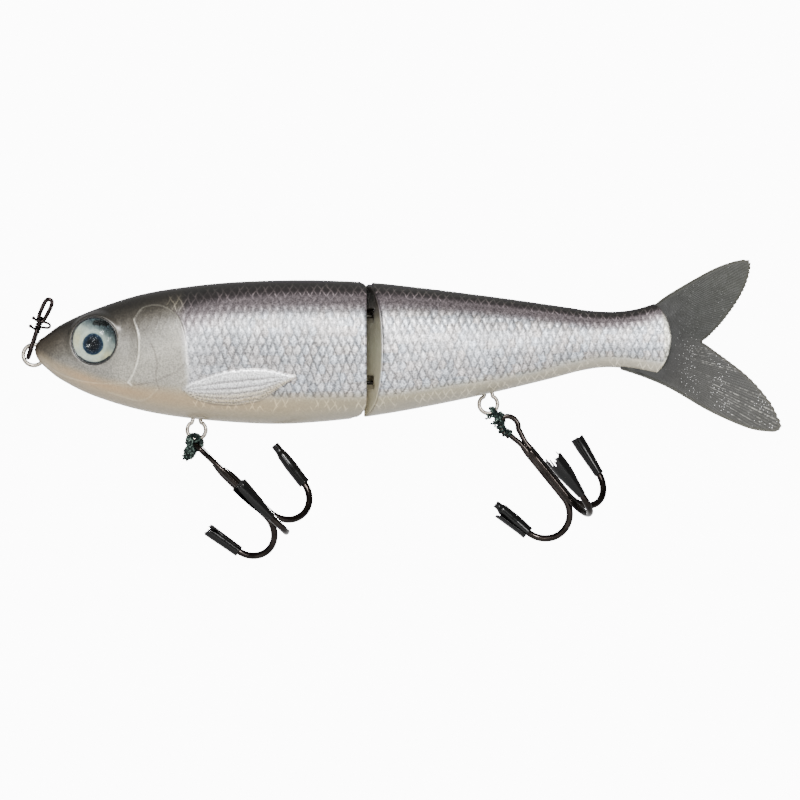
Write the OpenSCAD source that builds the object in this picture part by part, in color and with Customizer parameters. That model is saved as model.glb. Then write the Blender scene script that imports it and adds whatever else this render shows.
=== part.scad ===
// Two-section glide swimbait, nose to -X, tail to +X, back up.
// The origin is the centre of the nose ring, where the line is tied. Millimetres.

/* [Body] */
// Wall of the moulded half shells
wall = 2.0; // [1.4:0.1:2.6]
// Squareness of the body's cross-section, where 2 is an ellipse
squareness = 2.3; // [2:0.1:2.8]
// Rear edge of the front section's sides
front_end_x = 88.7; // [88.5:0.1:89]
// Foremost line of the rear section's V
rear_apex_x = 88.0; // [87.8:0.1:88.2]
// How far the front section's rear face is hollowed on the centre line
front_hollow = 1.7; // [1.5:0.1:2.2]
// Slope of the rear section's V, in length for each unit of width
v_slope = 0.341; // [0.32:0.01:0.36]

/* [Hinge] */
// Place of the hinge pin along the body
pin_x = 93.5; // [93:0.1:94]
// Diameter of the hinge pin
pin_d = 1.8; // [1.4:0.1:2.2]
// Height of the upper hinge eye
upper_eye_z = 10.3; // [9:0.1:11]
// Height of the lower hinge eye
lower_eye_z = -7.4; // [-8:0.1:-6]
// Height of the slot that each hinge eye works in
slot_h = 3.6; // [3:0.1:4]
// Half width of those slots
slot_half_w = 8.6; // [5:0.1:9]

/* [Eyes] */
// Diameter of the moulded eyes
eye_d = 12.4; // [11:0.1:13]
// Turn of each eye towards the nose, in degrees
eye_yaw = 12; // [6:1:16]

/* [Wire] */
// Wire of the nose ring
nose_wire_d = 0.95; // [0.8:0.05:1.1]
// Middle radius of the nose ring
nose_ring_r = 2.78; // [2.6:0.02:3]
// Wire of the hook hangers
hanger_wire_d = 0.9; // [0.7:0.05:1]
// Middle radius of the hook hangers' rings
hanger_ring_r = 2.45; // [2.3:0.05:2.6]
// Wire of the hinge eyes
hinge_wire_d = 1.2; // [1:0.1:1.4]
// Wire of the line snap
snap_wire_d = 0.8; // [0.7:0.05:0.9]

/* [Treble hooks] */
// Wire of the hooks
hook_wire_d = 1.5; // [1.2:0.1:1.6]
// Radius of each bend
bend_r = 7.0; // [6:0.1:7.4]
// Distance from the eye to the middle of the bends
shank_len = 24; // [21:0.1:25]
// How far each point leans away from the shank, in degrees
point_flare = 10; // [4:1:14]
// Length of the straight stretch that ends in the point
point_len = 10; // [8:0.5:11]
// Middle radius of the hook's eye
hook_eye_r = 2.6; // [2.4:0.05:2.8]
// Length of the tube that covers each point
guard_len = 12; // [10:0.5:12.5]
// Lean of the front hook's shank from the vertical
front_hook_lean = 46; // [35:0.1:52]
// Lean of the rear hook's shank from the vertical
rear_hook_lean = 39; // [30:1:52]

/* [Tail] */
// Thickness of the tail where it leaves the body
tail_root_t = 4.0; // [3:0.1:4.4]
// Thickness of the tail at its tips
tail_tip_t = 1.2; // [1:0.1:2]
// Place of the line that the tail bends about
tail_flex_x = 172.2; // [172:0.1:174]

/* [Hidden] */
$fn = 48;
LEFT = -1;
RIGHT = 1;

// Body outline stations: [x, top, bottom, half width]
front_stations = [
    [0.4, 3.8, 0.4, 0.9], [1.8, 5.3, -2.8, 2.6], [6, 7.7, -5.9, 4.7], [12, 10.6, -9.3, 6.9],
    [18, 12.9, -11.8, 8.8], [24, 14.9, -13.8, 10.2], [34, 17.1, -16, 11.7], [44, 18.7, -17.3, 12.4],
    [55, 19.6, -18, 12.7], [66, 20, -18.3, 12.8], [77, 20, -17.8, 12.8], [90, 19.4, -16.4, 12.6]
];
rear_stations = [
    [87, 19.4, -16.8, 12.6], [98, 18.6, -15, 12.3], [109, 17.3, -12.7, 11.4], [119, 16, -10.4, 10.2],
    [130, 14.7, -8, 8.7], [140, 13.2, -5.5, 7.2], [147, 12.1, -3.9, 6.1], [153, 11.6, -3.3, 5.3],
    [159, 12, -3.9, 4.8], [165, 13.4, -5.1, 4.5], [171, 15, -6.6, 4.3]
];
profile_steps = 2;
arc_steps = 14;

front_cavity = [24.5, 74];
rear_cavity = [101, 149];

// Tail outline, side view, from the top of the root round both lobes to the bottom of the root
tail_outline = [
    [166, 13.9], [170, 16.7], [180, 22.4], [186, 24.8], [190, 25.4], [191.1, 24], [190.3, 20],
    [188, 15], [184, 9.3], [180, 5], [178, 3.5], [180, 2.3], [190, -5.3], [196, -12],
    [198.2, -16], [199.3, -18.7], [198.4, -20.2], [196, -20.5], [190, -19.4], [180, -15],
    [170, -9.2], [163, -6.1], [156.4, -3.9]
];
tongue_x = 153.5;
tongue_top = 8.6;
tongue_t = 2.0;
// Where the tail stands up to its full height inside the body
tail_top_x = 165;
flex_gap = 0.15;
body_end_r = 13.8;
body_end_x = 169.4;
body_end_z = 4.2;
peg_x = 158;
peg_z = 3.5;
peg_d = 3;

eye_centre = [16.05, 7.5, 4];
iris_t = 0.8;
lens_h = 2.7;
lens_gap = 0.02;

front_ring = [43.4, 0, -20];
rear_ring = [121.2, 0, -13.1];
front_ring_foot = -11;
rear_ring_foot = -4.5;

// Direction from the rear ring to the rear hook, from the vertical
rear_tie_lean = 42.4;
hook_eye_d = 1.3;
tie_cord_d = 1.1;
upper_loop_r = 1.4;
lower_loop_r = 1.6;
lashing_r = 3;
front_grip = front_ring + [0, 0, -hanger_ring_r];
rear_grip = rear_ring + hanger_ring_r * [sin(rear_tie_lean), 0, -cos(rear_tie_lean)];
front_eye_wire = front_grip + [-0.26, 0, -1.28];
front_hook_eye = front_eye_wire + hook_eye_r * [sin(front_hook_lean), 0, -cos(front_hook_lean)];
rear_hook_eye = [126.8, 0, -18.9];
rear_eye_wire = rear_hook_eye - hook_eye_r * [sin(rear_hook_lean), 0, -cos(rear_hook_lean)];
// Turn of each hook about its own shank
front_hook_roll = 33;
rear_hook_roll = -78;

function spline(a, b, c, d, t) =
    0.5 * (2 * b + (c - a) * t + (2 * a - 5 * b + 4 * c - d) * t * t + (3 * b - a - 3 * c + d) * t * t * t);

// A smooth curve through points of any dimension
function smooth(p, steps) = [
    for (i = [0 : len(p) - 2])
        for (k = [0 : steps - 1])
            spline(p[max(i - 1, 0)], p[i], p[i + 1], p[min(i + 2, len(p) - 1)], k / steps),
    p[len(p) - 1]
];

function rounded(v) = sign(v) * pow(abs(v), 2 / squareness);

// One side of a cross-section, from the keel round to the back
function half_ring(s, side) = [
    for (k = [0 : arc_steps])
        let (a = -90 + 180 * k / arc_steps)
            [s[0], side * s[3] * rounded(cos(a)), (s[1] + s[2]) / 2 + (s[1] - s[2]) / 2 * rounded(sin(a))]
];

// Both sides of a cross-section, with the wall taken off
function full_ring(s, inset) =
    let (t = [s[0], s[1] - inset, s[2] + inset, s[3] - inset])
        concat(half_ring(t, RIGHT), [for (k = [1 : arc_steps - 1]) half_ring(t, LEFT)[arc_steps - k]]);

// A solid skinned over rings of points
module skin(rings) {
    n = len(rings[0]);
    m = len(rings);
    points = [for (r = rings) each r];
    sides = [
        for (i = [0 : m - 2])
            for (j = [0 : n - 1])
                let (a = i * n + j, b = i * n + (j + 1) % n)
                    each [[a, b + n, b], [a, a + n, b + n]]
    ];
    ends = [[for (j = [0 : n - 1]) j], [for (j = [n - 1 : -1 : 0]) (m - 1) * n + j]];
    polyhedron(points, concat(sides, ends), convexity = 8);
}

module half_body(stations, side) {
    rings = [for (s = smooth(stations, profile_steps)) half_ring(s, side)];
    skin(side == RIGHT ? rings : [for (r = rings) [for (j = [arc_steps : -1 : 0]) r[j]]]);
}

module cavity(stations, span) {
    inside = [for (s = smooth(stations, profile_steps)) if (s[0] > span[0] && s[0] < span[1]) s];
    skin([for (s = inside) full_ring(s, wall)]);
}

// Extrudes a side-view outline across the body's width
module across(width) {
    rotate([90, 0, 0])
        linear_extrude(width, center = true)
            children();
}

module x_cylinder(d, from, to) {
    translate(from) rotate([0, 90, 0]) cylinder(d = d, h = to - from[0]);
}

// A ring of wire, whose hole runs along Z
module wire_ring(r, d) {
    rotate_extrude() translate([r, 0]) circle(d = d, $fn = 24);
}

// Ring, shank and crosswise foot, hanging down from [0, 0, 0] at the ring's centre
module wire_eye(r, d, shank) {
    rotate([90, 0, 0]) wire_ring(r, d);
    translate([0, 0, r]) cylinder(d = d, h = shank - r);
    translate([0, 0, shank]) rotate([90, 0, 0]) cylinder(d = d, h = 5, center = true);
}

// The pocket in which a wire eye's shank and foot sit, with room all round
module wire_eye_pocket(d, shank) {
    room = 0.12;
    translate([0, 0, 0.5]) cylinder(d = d + 2 * room, h = shank - 0.5);
    translate([0, 0, shank]) rotate([90, 0, 0]) cylinder(d = d + 2 * room, h = 5.4, center = true);
}

// ---- front section ----

front_blocks = [[38, -25, 49, -9.5], [52, -25, 54, -12], [68, -25, 70, -12]];
front_ballast_d = 8.4;
front_ballast_span = [50, 72];
front_ballast_z = -10.4;
shell_pegs_front = [[20, -6], [47, -12.6], [76.5, 2]];
shell_pegs_rear = [[98.5, 1], [126, -3.5], [151.5, 6]];
shell_peg_d = 1.8;
shell_peg_h = 1.4;

// Side view of the front section's rear end, with its rounded corners
module front_side_outline() {
    top_r = 1.6;
    keel_r = 4.2;
    hull_x = front_end_x - keel_r;
    top_x = front_end_x - top_r;
    polygon(concat(
        [[-2, 30], [top_x, 30], [top_x, 19.3]],
        [for (a = [80 : -10 : 0]) [top_x + top_r * cos(a), 19.3 - top_r + top_r * sin(a)]],
        [for (a = [0 : -10 : -90]) [hull_x + keel_r * cos(a), -16.9 + keel_r + keel_r * sin(a)]],
        [[hull_x, -30], [-2, -30]]
    ));
}

// Plan of the front section, with its hollowed rear face
module front_plan_outline() {
    polygon([[-2, -16], [front_end_x + 0.4, -16], [front_end_x - front_hollow, 0], [front_end_x + 0.4, 16], [-2, 16]]);
}

module eye_place(side) {
    mirror([0, side == LEFT ? 1 : 0, 0])
        translate(eye_centre)
            rotate([0, 0, eye_yaw])
                rotate([-90, 0, 0])
                    children();
}

module blocks(list) {
    for (b = list)
        translate([b[0], -20, b[1]]) cube([b[2] - b[0], 40, b[3] - b[1]]);
}

module shell_pegs(list, side) {
    for (p = list)
        translate([p[0], side == LEFT ? -1 : 0, p[1]])
            rotate([-90, 0, 0])
                cylinder(d = shell_peg_d + (side == LEFT ? 0 : 0.2), h = shell_peg_h + (side == LEFT ? 1 : 0.3));
}

module front_shell(side) {
    difference() {
        intersection() {
            half_body(front_stations, side);
            across(60) front_side_outline();
            translate([0, 0, -30]) linear_extrude(60) front_plan_outline();
        }
        difference() {
            cavity(front_stations, front_cavity);
            blocks(front_blocks);
        }
        x_cylinder(front_ballast_d + 0.2, [front_ballast_span[0] - 0.1, 0, front_ballast_z], front_ballast_span[1] + 0.1);
        eye_place(side) translate([0, 0, -0.1]) cylinder(d = eye_d + 0.2, h = 8);
        rotate([90, 0, 0])
            difference() {
                cylinder(r = nose_ring_r + nose_wire_d / 2 + 0.12, h = nose_wire_d + 0.2, center = true);
                cylinder(r = nose_ring_r - nose_wire_d / 2 - 0.12, h = 3, center = true);
            }
        rotate([0, 90, 0]) wire_eye_pocket(nose_wire_d, 13);
        translate(front_ring) wire_eye_pocket(hanger_wire_d, front_ring_foot - front_ring[2]);
        for (z = [upper_eye_z, lower_eye_z])
            translate([pin_x, 0, z]) rotate([0, -90, 0]) wire_eye_pocket(hinge_wire_d, 14);
        if (side == RIGHT) shell_pegs(shell_pegs_front, RIGHT);
    }
    if (side == LEFT) shell_pegs(shell_pegs_front, LEFT);
}

module eye_iris(side) {
    color("gainsboro") eye_place(side) cylinder(d = eye_d, h = iris_t);
}

module eye_lens(side) {
    r = eye_d / 2;
    dome_r = (r * r + lens_h * lens_h) / (2 * lens_h);
    color("lightcyan", 0.4)
        eye_place(side)
            translate([0, 0, iris_t + lens_gap])
                intersection() {
                    cylinder(r = r, h = lens_h);
                    translate([0, 0, lens_h - dome_r]) sphere(r = dome_r, $fn = 96);
                }
}

module nose_ring() {
    color("silver") rotate([0, 90, 0]) wire_eye(nose_ring_r, nose_wire_d, 13);
}

module hook_hanger(ring, foot) {
    color("silver") translate(ring) wire_eye(hanger_ring_r, hanger_wire_d, foot - ring[2]);
}

module hinge_eye(z) {
    r = pin_d / 2 + 0.08 + hinge_wire_d / 2;
    color("silver")
        translate([pin_x, 0, z]) {
            wire_ring(r, hinge_wire_d);
            rotate([0, -90, 0]) translate([0, 0, r]) cylinder(d = hinge_wire_d, h = 14 - r);
            translate([-14, 0, 0]) rotate([90, 0, 0]) cylinder(d = hinge_wire_d, h = 5, center = true);
        }
}

module ballast(d, span, z) {
    color("gray") x_cylinder(d, [span[0], 0, z], span[1]);
}

// ---- line snap ----

snap_foot = [-1.5, 0, -0.75];
snap_lean = 18;
loop_half = 1.05;
lower_loop_len = 8.6;
upper_loop_len = 6.2;
upper_loop_lean = 9;

// A long closed loop of wire in the XZ plane, from z = 0 up to z = length
module long_loop(half, length, d) {
    for (s = [-1, 1])
        translate([s * half, 0, half]) cylinder(d = d, h = length - 2 * half);
    for (end = [[half, 180], [length - half, 0]])
        translate([0, 0, end[0]])
            rotate([90, 0, 0])
                rotate([0, 0, end[1]])
                    rotate_extrude(angle = 180) translate([half, 0]) circle(d = d, $fn = 24);
}

module line_snap() {
    d = snap_wire_d;
    color("dimgray")
        translate(snap_foot)
            rotate([0, snap_lean, 0]) {
                rotate([0, 0, 90]) long_loop(loop_half, lower_loop_len, d);
                translate([0, 0, lower_loop_len - 1.6]) cylinder(d = 1.5, h = 5);
                for (z = [7.9, 9.8])
                    translate([0, 0, z])
                        rotate([0, 12, 0]) {
                            wire_ring(0.95, d);
                            translate([-2.2, 0, 0]) rotate([0, 90, 0]) cylinder(d = d, h = 1.6);
                        }
                translate([0.6, 0, 9.9]) rotate([0, 90, 0]) cylinder(d = d * 0.8, h = 2.2);
                translate([0.6, 0, 9.2]) rotate([0, 75, 0]) cylinder(d = d * 0.8, h = 2);
                translate([2.8, 0, 9.4]) cylinder(d = d * 0.8, h = 0.9);
                translate([0, 0, 10.2]) rotate([0, upper_loop_lean, 0]) long_loop(loop_half, upper_loop_len, d);
            }
}

// ---- rear section ----

rear_blocks = [[117, -20, 128, -1.5], [104, -20, 106, -3], [111, -20, 113, -3]];
rear_ballast_d = 6.4;
rear_ballast_span = [102.2, 115];
rear_ballast_z = -7.2;

// Side view of the rear section, with its rounded top corner and its round tail end
module rear_side_outline() {
    top_r = 2.2;
    top_x = rear_apex_x + top_r;
    half = asin((20 - body_end_z) / 40);
    polygon(concat(
        [[80, -30], [80, 19.2 - top_r]],
        [for (a = [180 : -10 : 90]) [top_x + top_r * cos(a), 19.2 - top_r + top_r * sin(a)]],
        [[top_x + 2, 19.2], [top_x + 2, 30], [155, 30]],
        [for (a = [80 : -8 : -80]) [body_end_x - body_end_r + body_end_r * cos(a), body_end_z + body_end_r * sin(a)]],
        [[155, -30]]
    ));
}

module rear_plan_outline() {
    half = 16;
    shoulder = rear_apex_x + v_slope * half;
    polygon([[rear_apex_x, 0], [shoulder, half], [180, half], [180, -half], [shoulder, -half]]);
}

module rear_shell(side) {
    difference() {
        intersection() {
            half_body(rear_stations, side);
            across(60) rear_side_outline();
            translate([0, 0, -30]) linear_extrude(60) rear_plan_outline();
        }
        difference() {
            cavity(rear_stations, rear_cavity);
            blocks(rear_blocks);
        }
        x_cylinder(rear_ballast_d + 0.2, [rear_ballast_span[0] - 0.1, 0, rear_ballast_z], rear_ballast_span[1] + 0.1);
        for (z = [upper_eye_z, lower_eye_z])
            translate([80, -slot_half_w, z - slot_h / 2]) cube([pin_x + 3.2 - 80, 2 * slot_half_w, slot_h]);
        translate([pin_x, 0, -20]) cylinder(d = pin_d + 0.04, h = 34.6);
        translate(rear_ring) wire_eye_pocket(hanger_wire_d, rear_ring_foot - rear_ring[2]);
        difference() {
            for (slot = [[tongue_x, tongue_top], [tail_top_x, 20]])
                translate([slot[0] - 0.15, -tongue_t / 2 - 0.1, -12]) cube([30, tongue_t + 0.2, slot[1] + 12.15]);
            if (side == LEFT)
                translate([peg_x, 0, peg_z]) rotate([90, 0, 0]) cylinder(d = peg_d, h = 3, center = true);
        }
        if (side == RIGHT) shell_pegs(shell_pegs_rear, RIGHT);
    }
    if (side == LEFT) shell_pegs(shell_pegs_rear, LEFT);
}

module hinge_pin() {
    color("silver") translate([pin_x, 0, -15.2]) cylinder(d = pin_d, h = 29.6);
}

module tail_side_outline() {
    polygon(concat([for (p = smooth(tail_outline, 3)) p], [[tongue_x, -3], [tongue_x, tongue_top], [tail_top_x, tongue_top]]));
}

// Plan of the tail: an even tongue, then a taper from the root to the tips
module tail_plan_outline() {
    root = tail_root_t / 2;
    tip = tail_tip_t / 2;
    polygon([[150, -root], [tail_flex_x, -root], [200, -tip], [200, tip], [tail_flex_x, root], [150, root]]);
}

module tail_solid() {
    intersection() {
        across(20) tail_side_outline();
        translate([0, 0, -30]) linear_extrude(60) tail_plan_outline();
    }
}

// All that lies behind the flex line, with a round nose that is `grow` larger than the root's half thickness
module behind_flex_line(grow) {
    translate([tail_flex_x, -10, -30]) cube([40, 20, 60]);
    translate([tail_flex_x, 0, -30]) cylinder(d = tail_root_t + 2 * grow, h = 60);
}

module tail_root() {
    color("dimgray")
        difference() {
            tail_solid();
            behind_flex_line(flex_gap);
            for (s = [-1, 1])
                translate([0, s * (tongue_t / 2 + 10), 0])
                    rotate([90, 0, 0])
                        intersection() {
                            translate([body_end_x - body_end_r, body_end_z])
                                cylinder(r = body_end_r + 0.15, h = 20, center = true, $fn = 96);
                            translate([140, -30, -10]) cube([40, 60, 20]);
                        }
            translate([peg_x, 0, peg_z]) rotate([90, 0, 0]) cylinder(d = peg_d + 0.3, h = 5, center = true);
        }
}

module tail_fin() {
    color("dimgray")
        intersection() {
            tail_solid();
            behind_flex_line(0);
        }
}

// ---- hooks ----

// Cord wound crosswise over the front ring and the front hook's eye, which cross at right angles
module front_hook_tie() {
    color("darkslategray") {
        translate(front_eye_wire + [0.8, 0, 0.6])
            rotate([0, -10, 0])
            for (turn = [-38, 38])
                rotate([0, 0, turn]) rotate([90, 0, 0]) wire_ring(lashing_r, tie_cord_d);
        translate(front_eye_wire + [-2, 0, 0.3]) rotate([90, 0, 0]) cylinder(d = 1.8, h = 3.6, center = true);
        translate(front_eye_wire + [-2, 0, -2.5]) cylinder(d = 1.8, h = 2.8);
        translate(front_eye_wire + [-2, 0, -1.9]) rotate([0, -115, 0]) cylinder(d = 0.9, h = 2.8);
    }
}

// Cord wound as a figure of eight round the rear ring and the rear hook's eye, which lie in one plane
module rear_hook_tie() {
    color("darkslategray") {
        translate(rear_grip) rotate([0, -rear_tie_lean, 0]) rotate([0, 90, 0]) wire_ring(upper_loop_r, tie_cord_d);
        translate(rear_eye_wire) rotate([0, -rear_hook_lean, 0]) rotate([0, 90, 0]) wire_ring(lower_loop_r, tie_cord_d);
        translate((rear_grip + rear_eye_wire) / 2 + [0, -1.1, 0]) rotate([90, 0, 0]) cylinder(d = 1.3, h = 1.4);
    }
}

// Stations of one hook's wire from its top to its point: [place in XZ, direction of the bend's outside, radius]
function hook_stations(start) =
    let (
        centre = [hook_offset + bend_r, -shank_len],
        end = 360 - point_flare,
        bend_end = centre + bend_r * [cos(end), sin(end)],
        along = [-sin(end), cos(end)],
        r = hook_wire_d / 2
    )
        concat(
            [[[hook_offset, -start], 180, r]],
            [
                for (i = [0 : bend_steps])
                    let (a = 180 + (180 - point_flare) * i / bend_steps)
                        [centre + bend_r * [cos(a), sin(a)], a, r]
            ],
            [[bend_end + (point_len - 3.5) * along, end, r], [bend_end + point_len * along, end, 0.1 * r]]
        );

// One hook of a treble, in the XZ plane, shank down the Z axis and point on the +X side
module hook_wire(start) {
    skin([
        for (s = hook_stations(start))
            [
                for (j = [0 : hook_sides - 1])
                    let (turn = 360 * j / hook_sides, out = s[2] * cos(turn))
                        [s[0][0] + out * cos(s[1]), s[2] * sin(turn), s[0][1] + out * sin(s[1])]
            ]
    ]);
}

// Where the bend ends and the straight point begins, +Z towards the point's tip
module hook_point_place() {
    translate([
        hook_offset + bend_r + bend_r * cos(point_flare),
        0,
        -shank_len - bend_r * sin(point_flare)
    ])
        rotate([0, point_flare, 0])
            children();
}

guard_d = 3.2;
guard_bore = hook_wire_d + 0.04;
// The three shanks stand round a core of solder
hook_offset = hook_wire_d * 0.52;
core_d = 1.1;
hook_sides = 12;
bend_steps = 16;

module treble_place(eye, lean, roll) {
    translate(eye) rotate([0, -lean, 0]) rotate([0, 0, roll]) children();
}

// The eye faces along the width of the lure when eye_turn is 90, and along its length when it is 0
module treble_hook(eye, lean, roll, eye_turn) {
    color("dimgray") {
        treble_place(eye, lean, eye_turn) rotate([0, 90, 0]) wire_ring(hook_eye_r, hook_eye_d);
        treble_place(eye, lean, roll) {
            translate([0, 0, -shank_len - 0.8]) cylinder(d = core_d, h = shank_len + 0.8 - hook_eye_r);
            for (k = [0 : 2])
                rotate([0, 0, 120 * k]) hook_wire(hook_eye_r + (k == 0 ? 4.5 : 0.9));
        }
    }
}

module point_guard(eye, lean, roll, k) {
    color("black")
        treble_place(eye, lean, roll)
            rotate([0, 0, 120 * k])
                hook_point_place()
                    translate([0, 0, -0.4])
                        difference() {
                            cylinder(d = guard_d, h = guard_len);
                            translate([0, 0, -0.1]) cylinder(d = guard_bore, h = guard_len + 0.2);
                            translate([0.9, -0.25, guard_len * 0.35]) cube([3, 0.5, guard_len]);
                        }
}

color("silver") front_shell(LEFT);  // front_shell_left
color("silver") front_shell(RIGHT);  // front_shell_right
eye_iris(LEFT);  // eye_iris_left
eye_iris(RIGHT);  // eye_iris_right
eye_lens(LEFT);  // eye_lens_left
eye_lens(RIGHT);  // eye_lens_right
nose_ring();
hook_hanger(front_ring, front_ring_foot);  // front_hook_hanger
hinge_eye(upper_eye_z);  // upper_hinge_eye
hinge_eye(lower_eye_z);  // lower_hinge_eye
ballast(front_ballast_d, front_ballast_span, front_ballast_z);  // front_ballast
line_snap();
color("silver") rear_shell(LEFT);  // rear_shell_left
color("silver") rear_shell(RIGHT);  // rear_shell_right
hinge_pin();
hook_hanger(rear_ring, rear_ring_foot);  // rear_hook_hanger
ballast(rear_ballast_d, rear_ballast_span, rear_ballast_z);  // rear_ballast
tail_root();
tail_fin();
front_hook_tie();
treble_hook(front_hook_eye, front_hook_lean, front_hook_roll, 0);  // front_treble_hook
point_guard(front_hook_eye, front_hook_lean, front_hook_roll, 0);  // front_point_guard_1
point_guard(front_hook_eye, front_hook_lean, front_hook_roll, 1);  // front_point_guard_2
point_guard(front_hook_eye, front_hook_lean, front_hook_roll, 2);  // front_point_guard_3
rear_hook_tie();
treble_hook(rear_hook_eye, rear_hook_lean, rear_hook_roll, 90);  // rear_treble_hook
point_guard(rear_hook_eye, rear_hook_lean, rear_hook_roll, 0);  // rear_point_guard_1
point_guard(rear_hook_eye, rear_hook_lean, rear_hook_roll, 1);  // rear_point_guard_2
point_guard(rear_hook_eye, rear_hook_lean, rear_hook_roll, 2);  // rear_point_guard_3
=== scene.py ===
"""Jointed swimbait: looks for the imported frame. Lengths in the tables below are millimetres."""
import math

import bpy
import numpy as np
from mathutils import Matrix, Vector


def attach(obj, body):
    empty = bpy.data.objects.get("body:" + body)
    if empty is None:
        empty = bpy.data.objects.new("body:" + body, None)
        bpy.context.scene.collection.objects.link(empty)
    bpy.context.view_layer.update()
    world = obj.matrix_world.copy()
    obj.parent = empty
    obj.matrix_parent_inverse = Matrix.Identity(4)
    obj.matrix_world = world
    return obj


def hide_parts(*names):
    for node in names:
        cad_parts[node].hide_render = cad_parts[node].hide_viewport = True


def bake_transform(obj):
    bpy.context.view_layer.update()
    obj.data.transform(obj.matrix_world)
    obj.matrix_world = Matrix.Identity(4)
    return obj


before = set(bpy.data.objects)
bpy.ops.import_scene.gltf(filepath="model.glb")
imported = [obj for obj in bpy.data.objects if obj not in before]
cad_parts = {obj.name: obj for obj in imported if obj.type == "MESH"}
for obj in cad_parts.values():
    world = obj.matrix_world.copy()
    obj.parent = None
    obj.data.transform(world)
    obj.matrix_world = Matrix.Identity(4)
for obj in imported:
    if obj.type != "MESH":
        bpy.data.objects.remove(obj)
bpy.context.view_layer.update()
MM = 0.001
# The camera stands square to the part's left side
CAMERA = (97.65, -850.0, -12.0)
# Brightness of the white behind the part
WHITE = 12.0


# ---------------------------------------------------------------- numbers

def smooth(edge0, edge1, x):
    t = np.clip((np.asarray(x, float) - edge0) / (edge1 - edge0), 0, 1)
    return t * t * (3 - 2 * t)


def catmull(points, steps=12):
    p = np.array(points, float)
    out = []
    for i in range(len(p) - 1):
        a, b, c, d = p[max(i - 1, 0)], p[i], p[i + 1], p[min(i + 2, len(p) - 1)]
        for k in range(steps):
            t = k / steps
            out.append(0.5 * (2 * b + (c - a) * t + (2 * a - 5 * b + 4 * c - d) * t * t
                              + (3 * b - a - 3 * c + d) * t ** 3))
    out.append(p[-1])
    return np.array(out)


def curve_of(points):
    """A smooth function of X through [x, value] points."""
    c = catmull(points)
    return lambda x: np.interp(x, c[:, 0], c[:, 1])


# A polynomial close to the default view curve, from log2 of the light to the display value, and the
# studio's light level
STOPS = np.linspace(-12.474, 4.026, 400)
CURVE = np.polyval([15.5, -40.14, 31.96, -6.868, 0.4298, 0.1191, -0.00232], (STOPS + 12.474) / 16.5)
LIGHT = 2.6


def linear(rgb):
    """Surface colour that shows as the given 0-255 display colour in the studio's light."""
    c = np.asarray(rgb, float) / 255
    grey = c.mean(-1, keepdims=True)
    c = np.clip(grey + (c - grey) * 1.3, 0.02, 0.95)
    return np.clip(2 ** np.interp(c, np.maximum.accumulate(CURVE), STOPS) / LIGHT, 0.002, 0.9)


def value_noise(x, y, size, seed):
    """Smooth repeatable noise in 0-1 with lumps of the given size in mm."""
    x, y = np.asarray(x) / size, np.asarray(y) / size
    i, j = np.floor(x), np.floor(y)
    u, v = smooth(0, 1, x - i), smooth(0, 1, y - j)
    a = hash01(i, j, seed) * (1 - u) + hash01(i + 1, j, seed) * u
    b = hash01(i, j + 1, seed) * (1 - u) + hash01(i + 1, j + 1, seed) * u
    return a * (1 - v) + b * v


def ramp(x, stops):
    """Colour ramp over an array: stops are [position, (r, g, b)] in 0-255 display values."""
    pos = [s[0] for s in stops]
    return np.stack([np.interp(x, pos, [s[1][k] for s in stops]) for k in range(3)], -1)


def mix(a, b, t):
    """Colour a turned into colour b by the share t."""
    t = np.asarray(t)[..., None]
    return np.asarray(a, float) * (1 - t) + np.asarray(b, float) * t


def polyline_distance(x, z, points, steps=8):
    """Distance in mm from each point to a smooth polyline."""
    p = catmull(points, steps)
    best = np.full(x.shape, 1e9)
    for a, b in zip(p[:-1], p[1:]):
        d = b - a
        t = np.clip(((x - a[0]) * d[0] + (z - a[1]) * d[1]) / (d @ d + 1e-12), 0, 1)
        ex, ez = x - a[0] - t * d[0], z - a[1] - t * d[1]
        best = np.minimum(best, np.hypot(ex, ez))
    return best


def hash01(a, b, seed):
    """A repeatable pseudo-random number in 0-1 for each pair of whole numbers."""
    v = np.sin(a * 127.1 + b * 311.7 + seed * 74.7) * 43758.5453
    return v - np.floor(v)


# ---------------------------------------------------------------- materials

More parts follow.
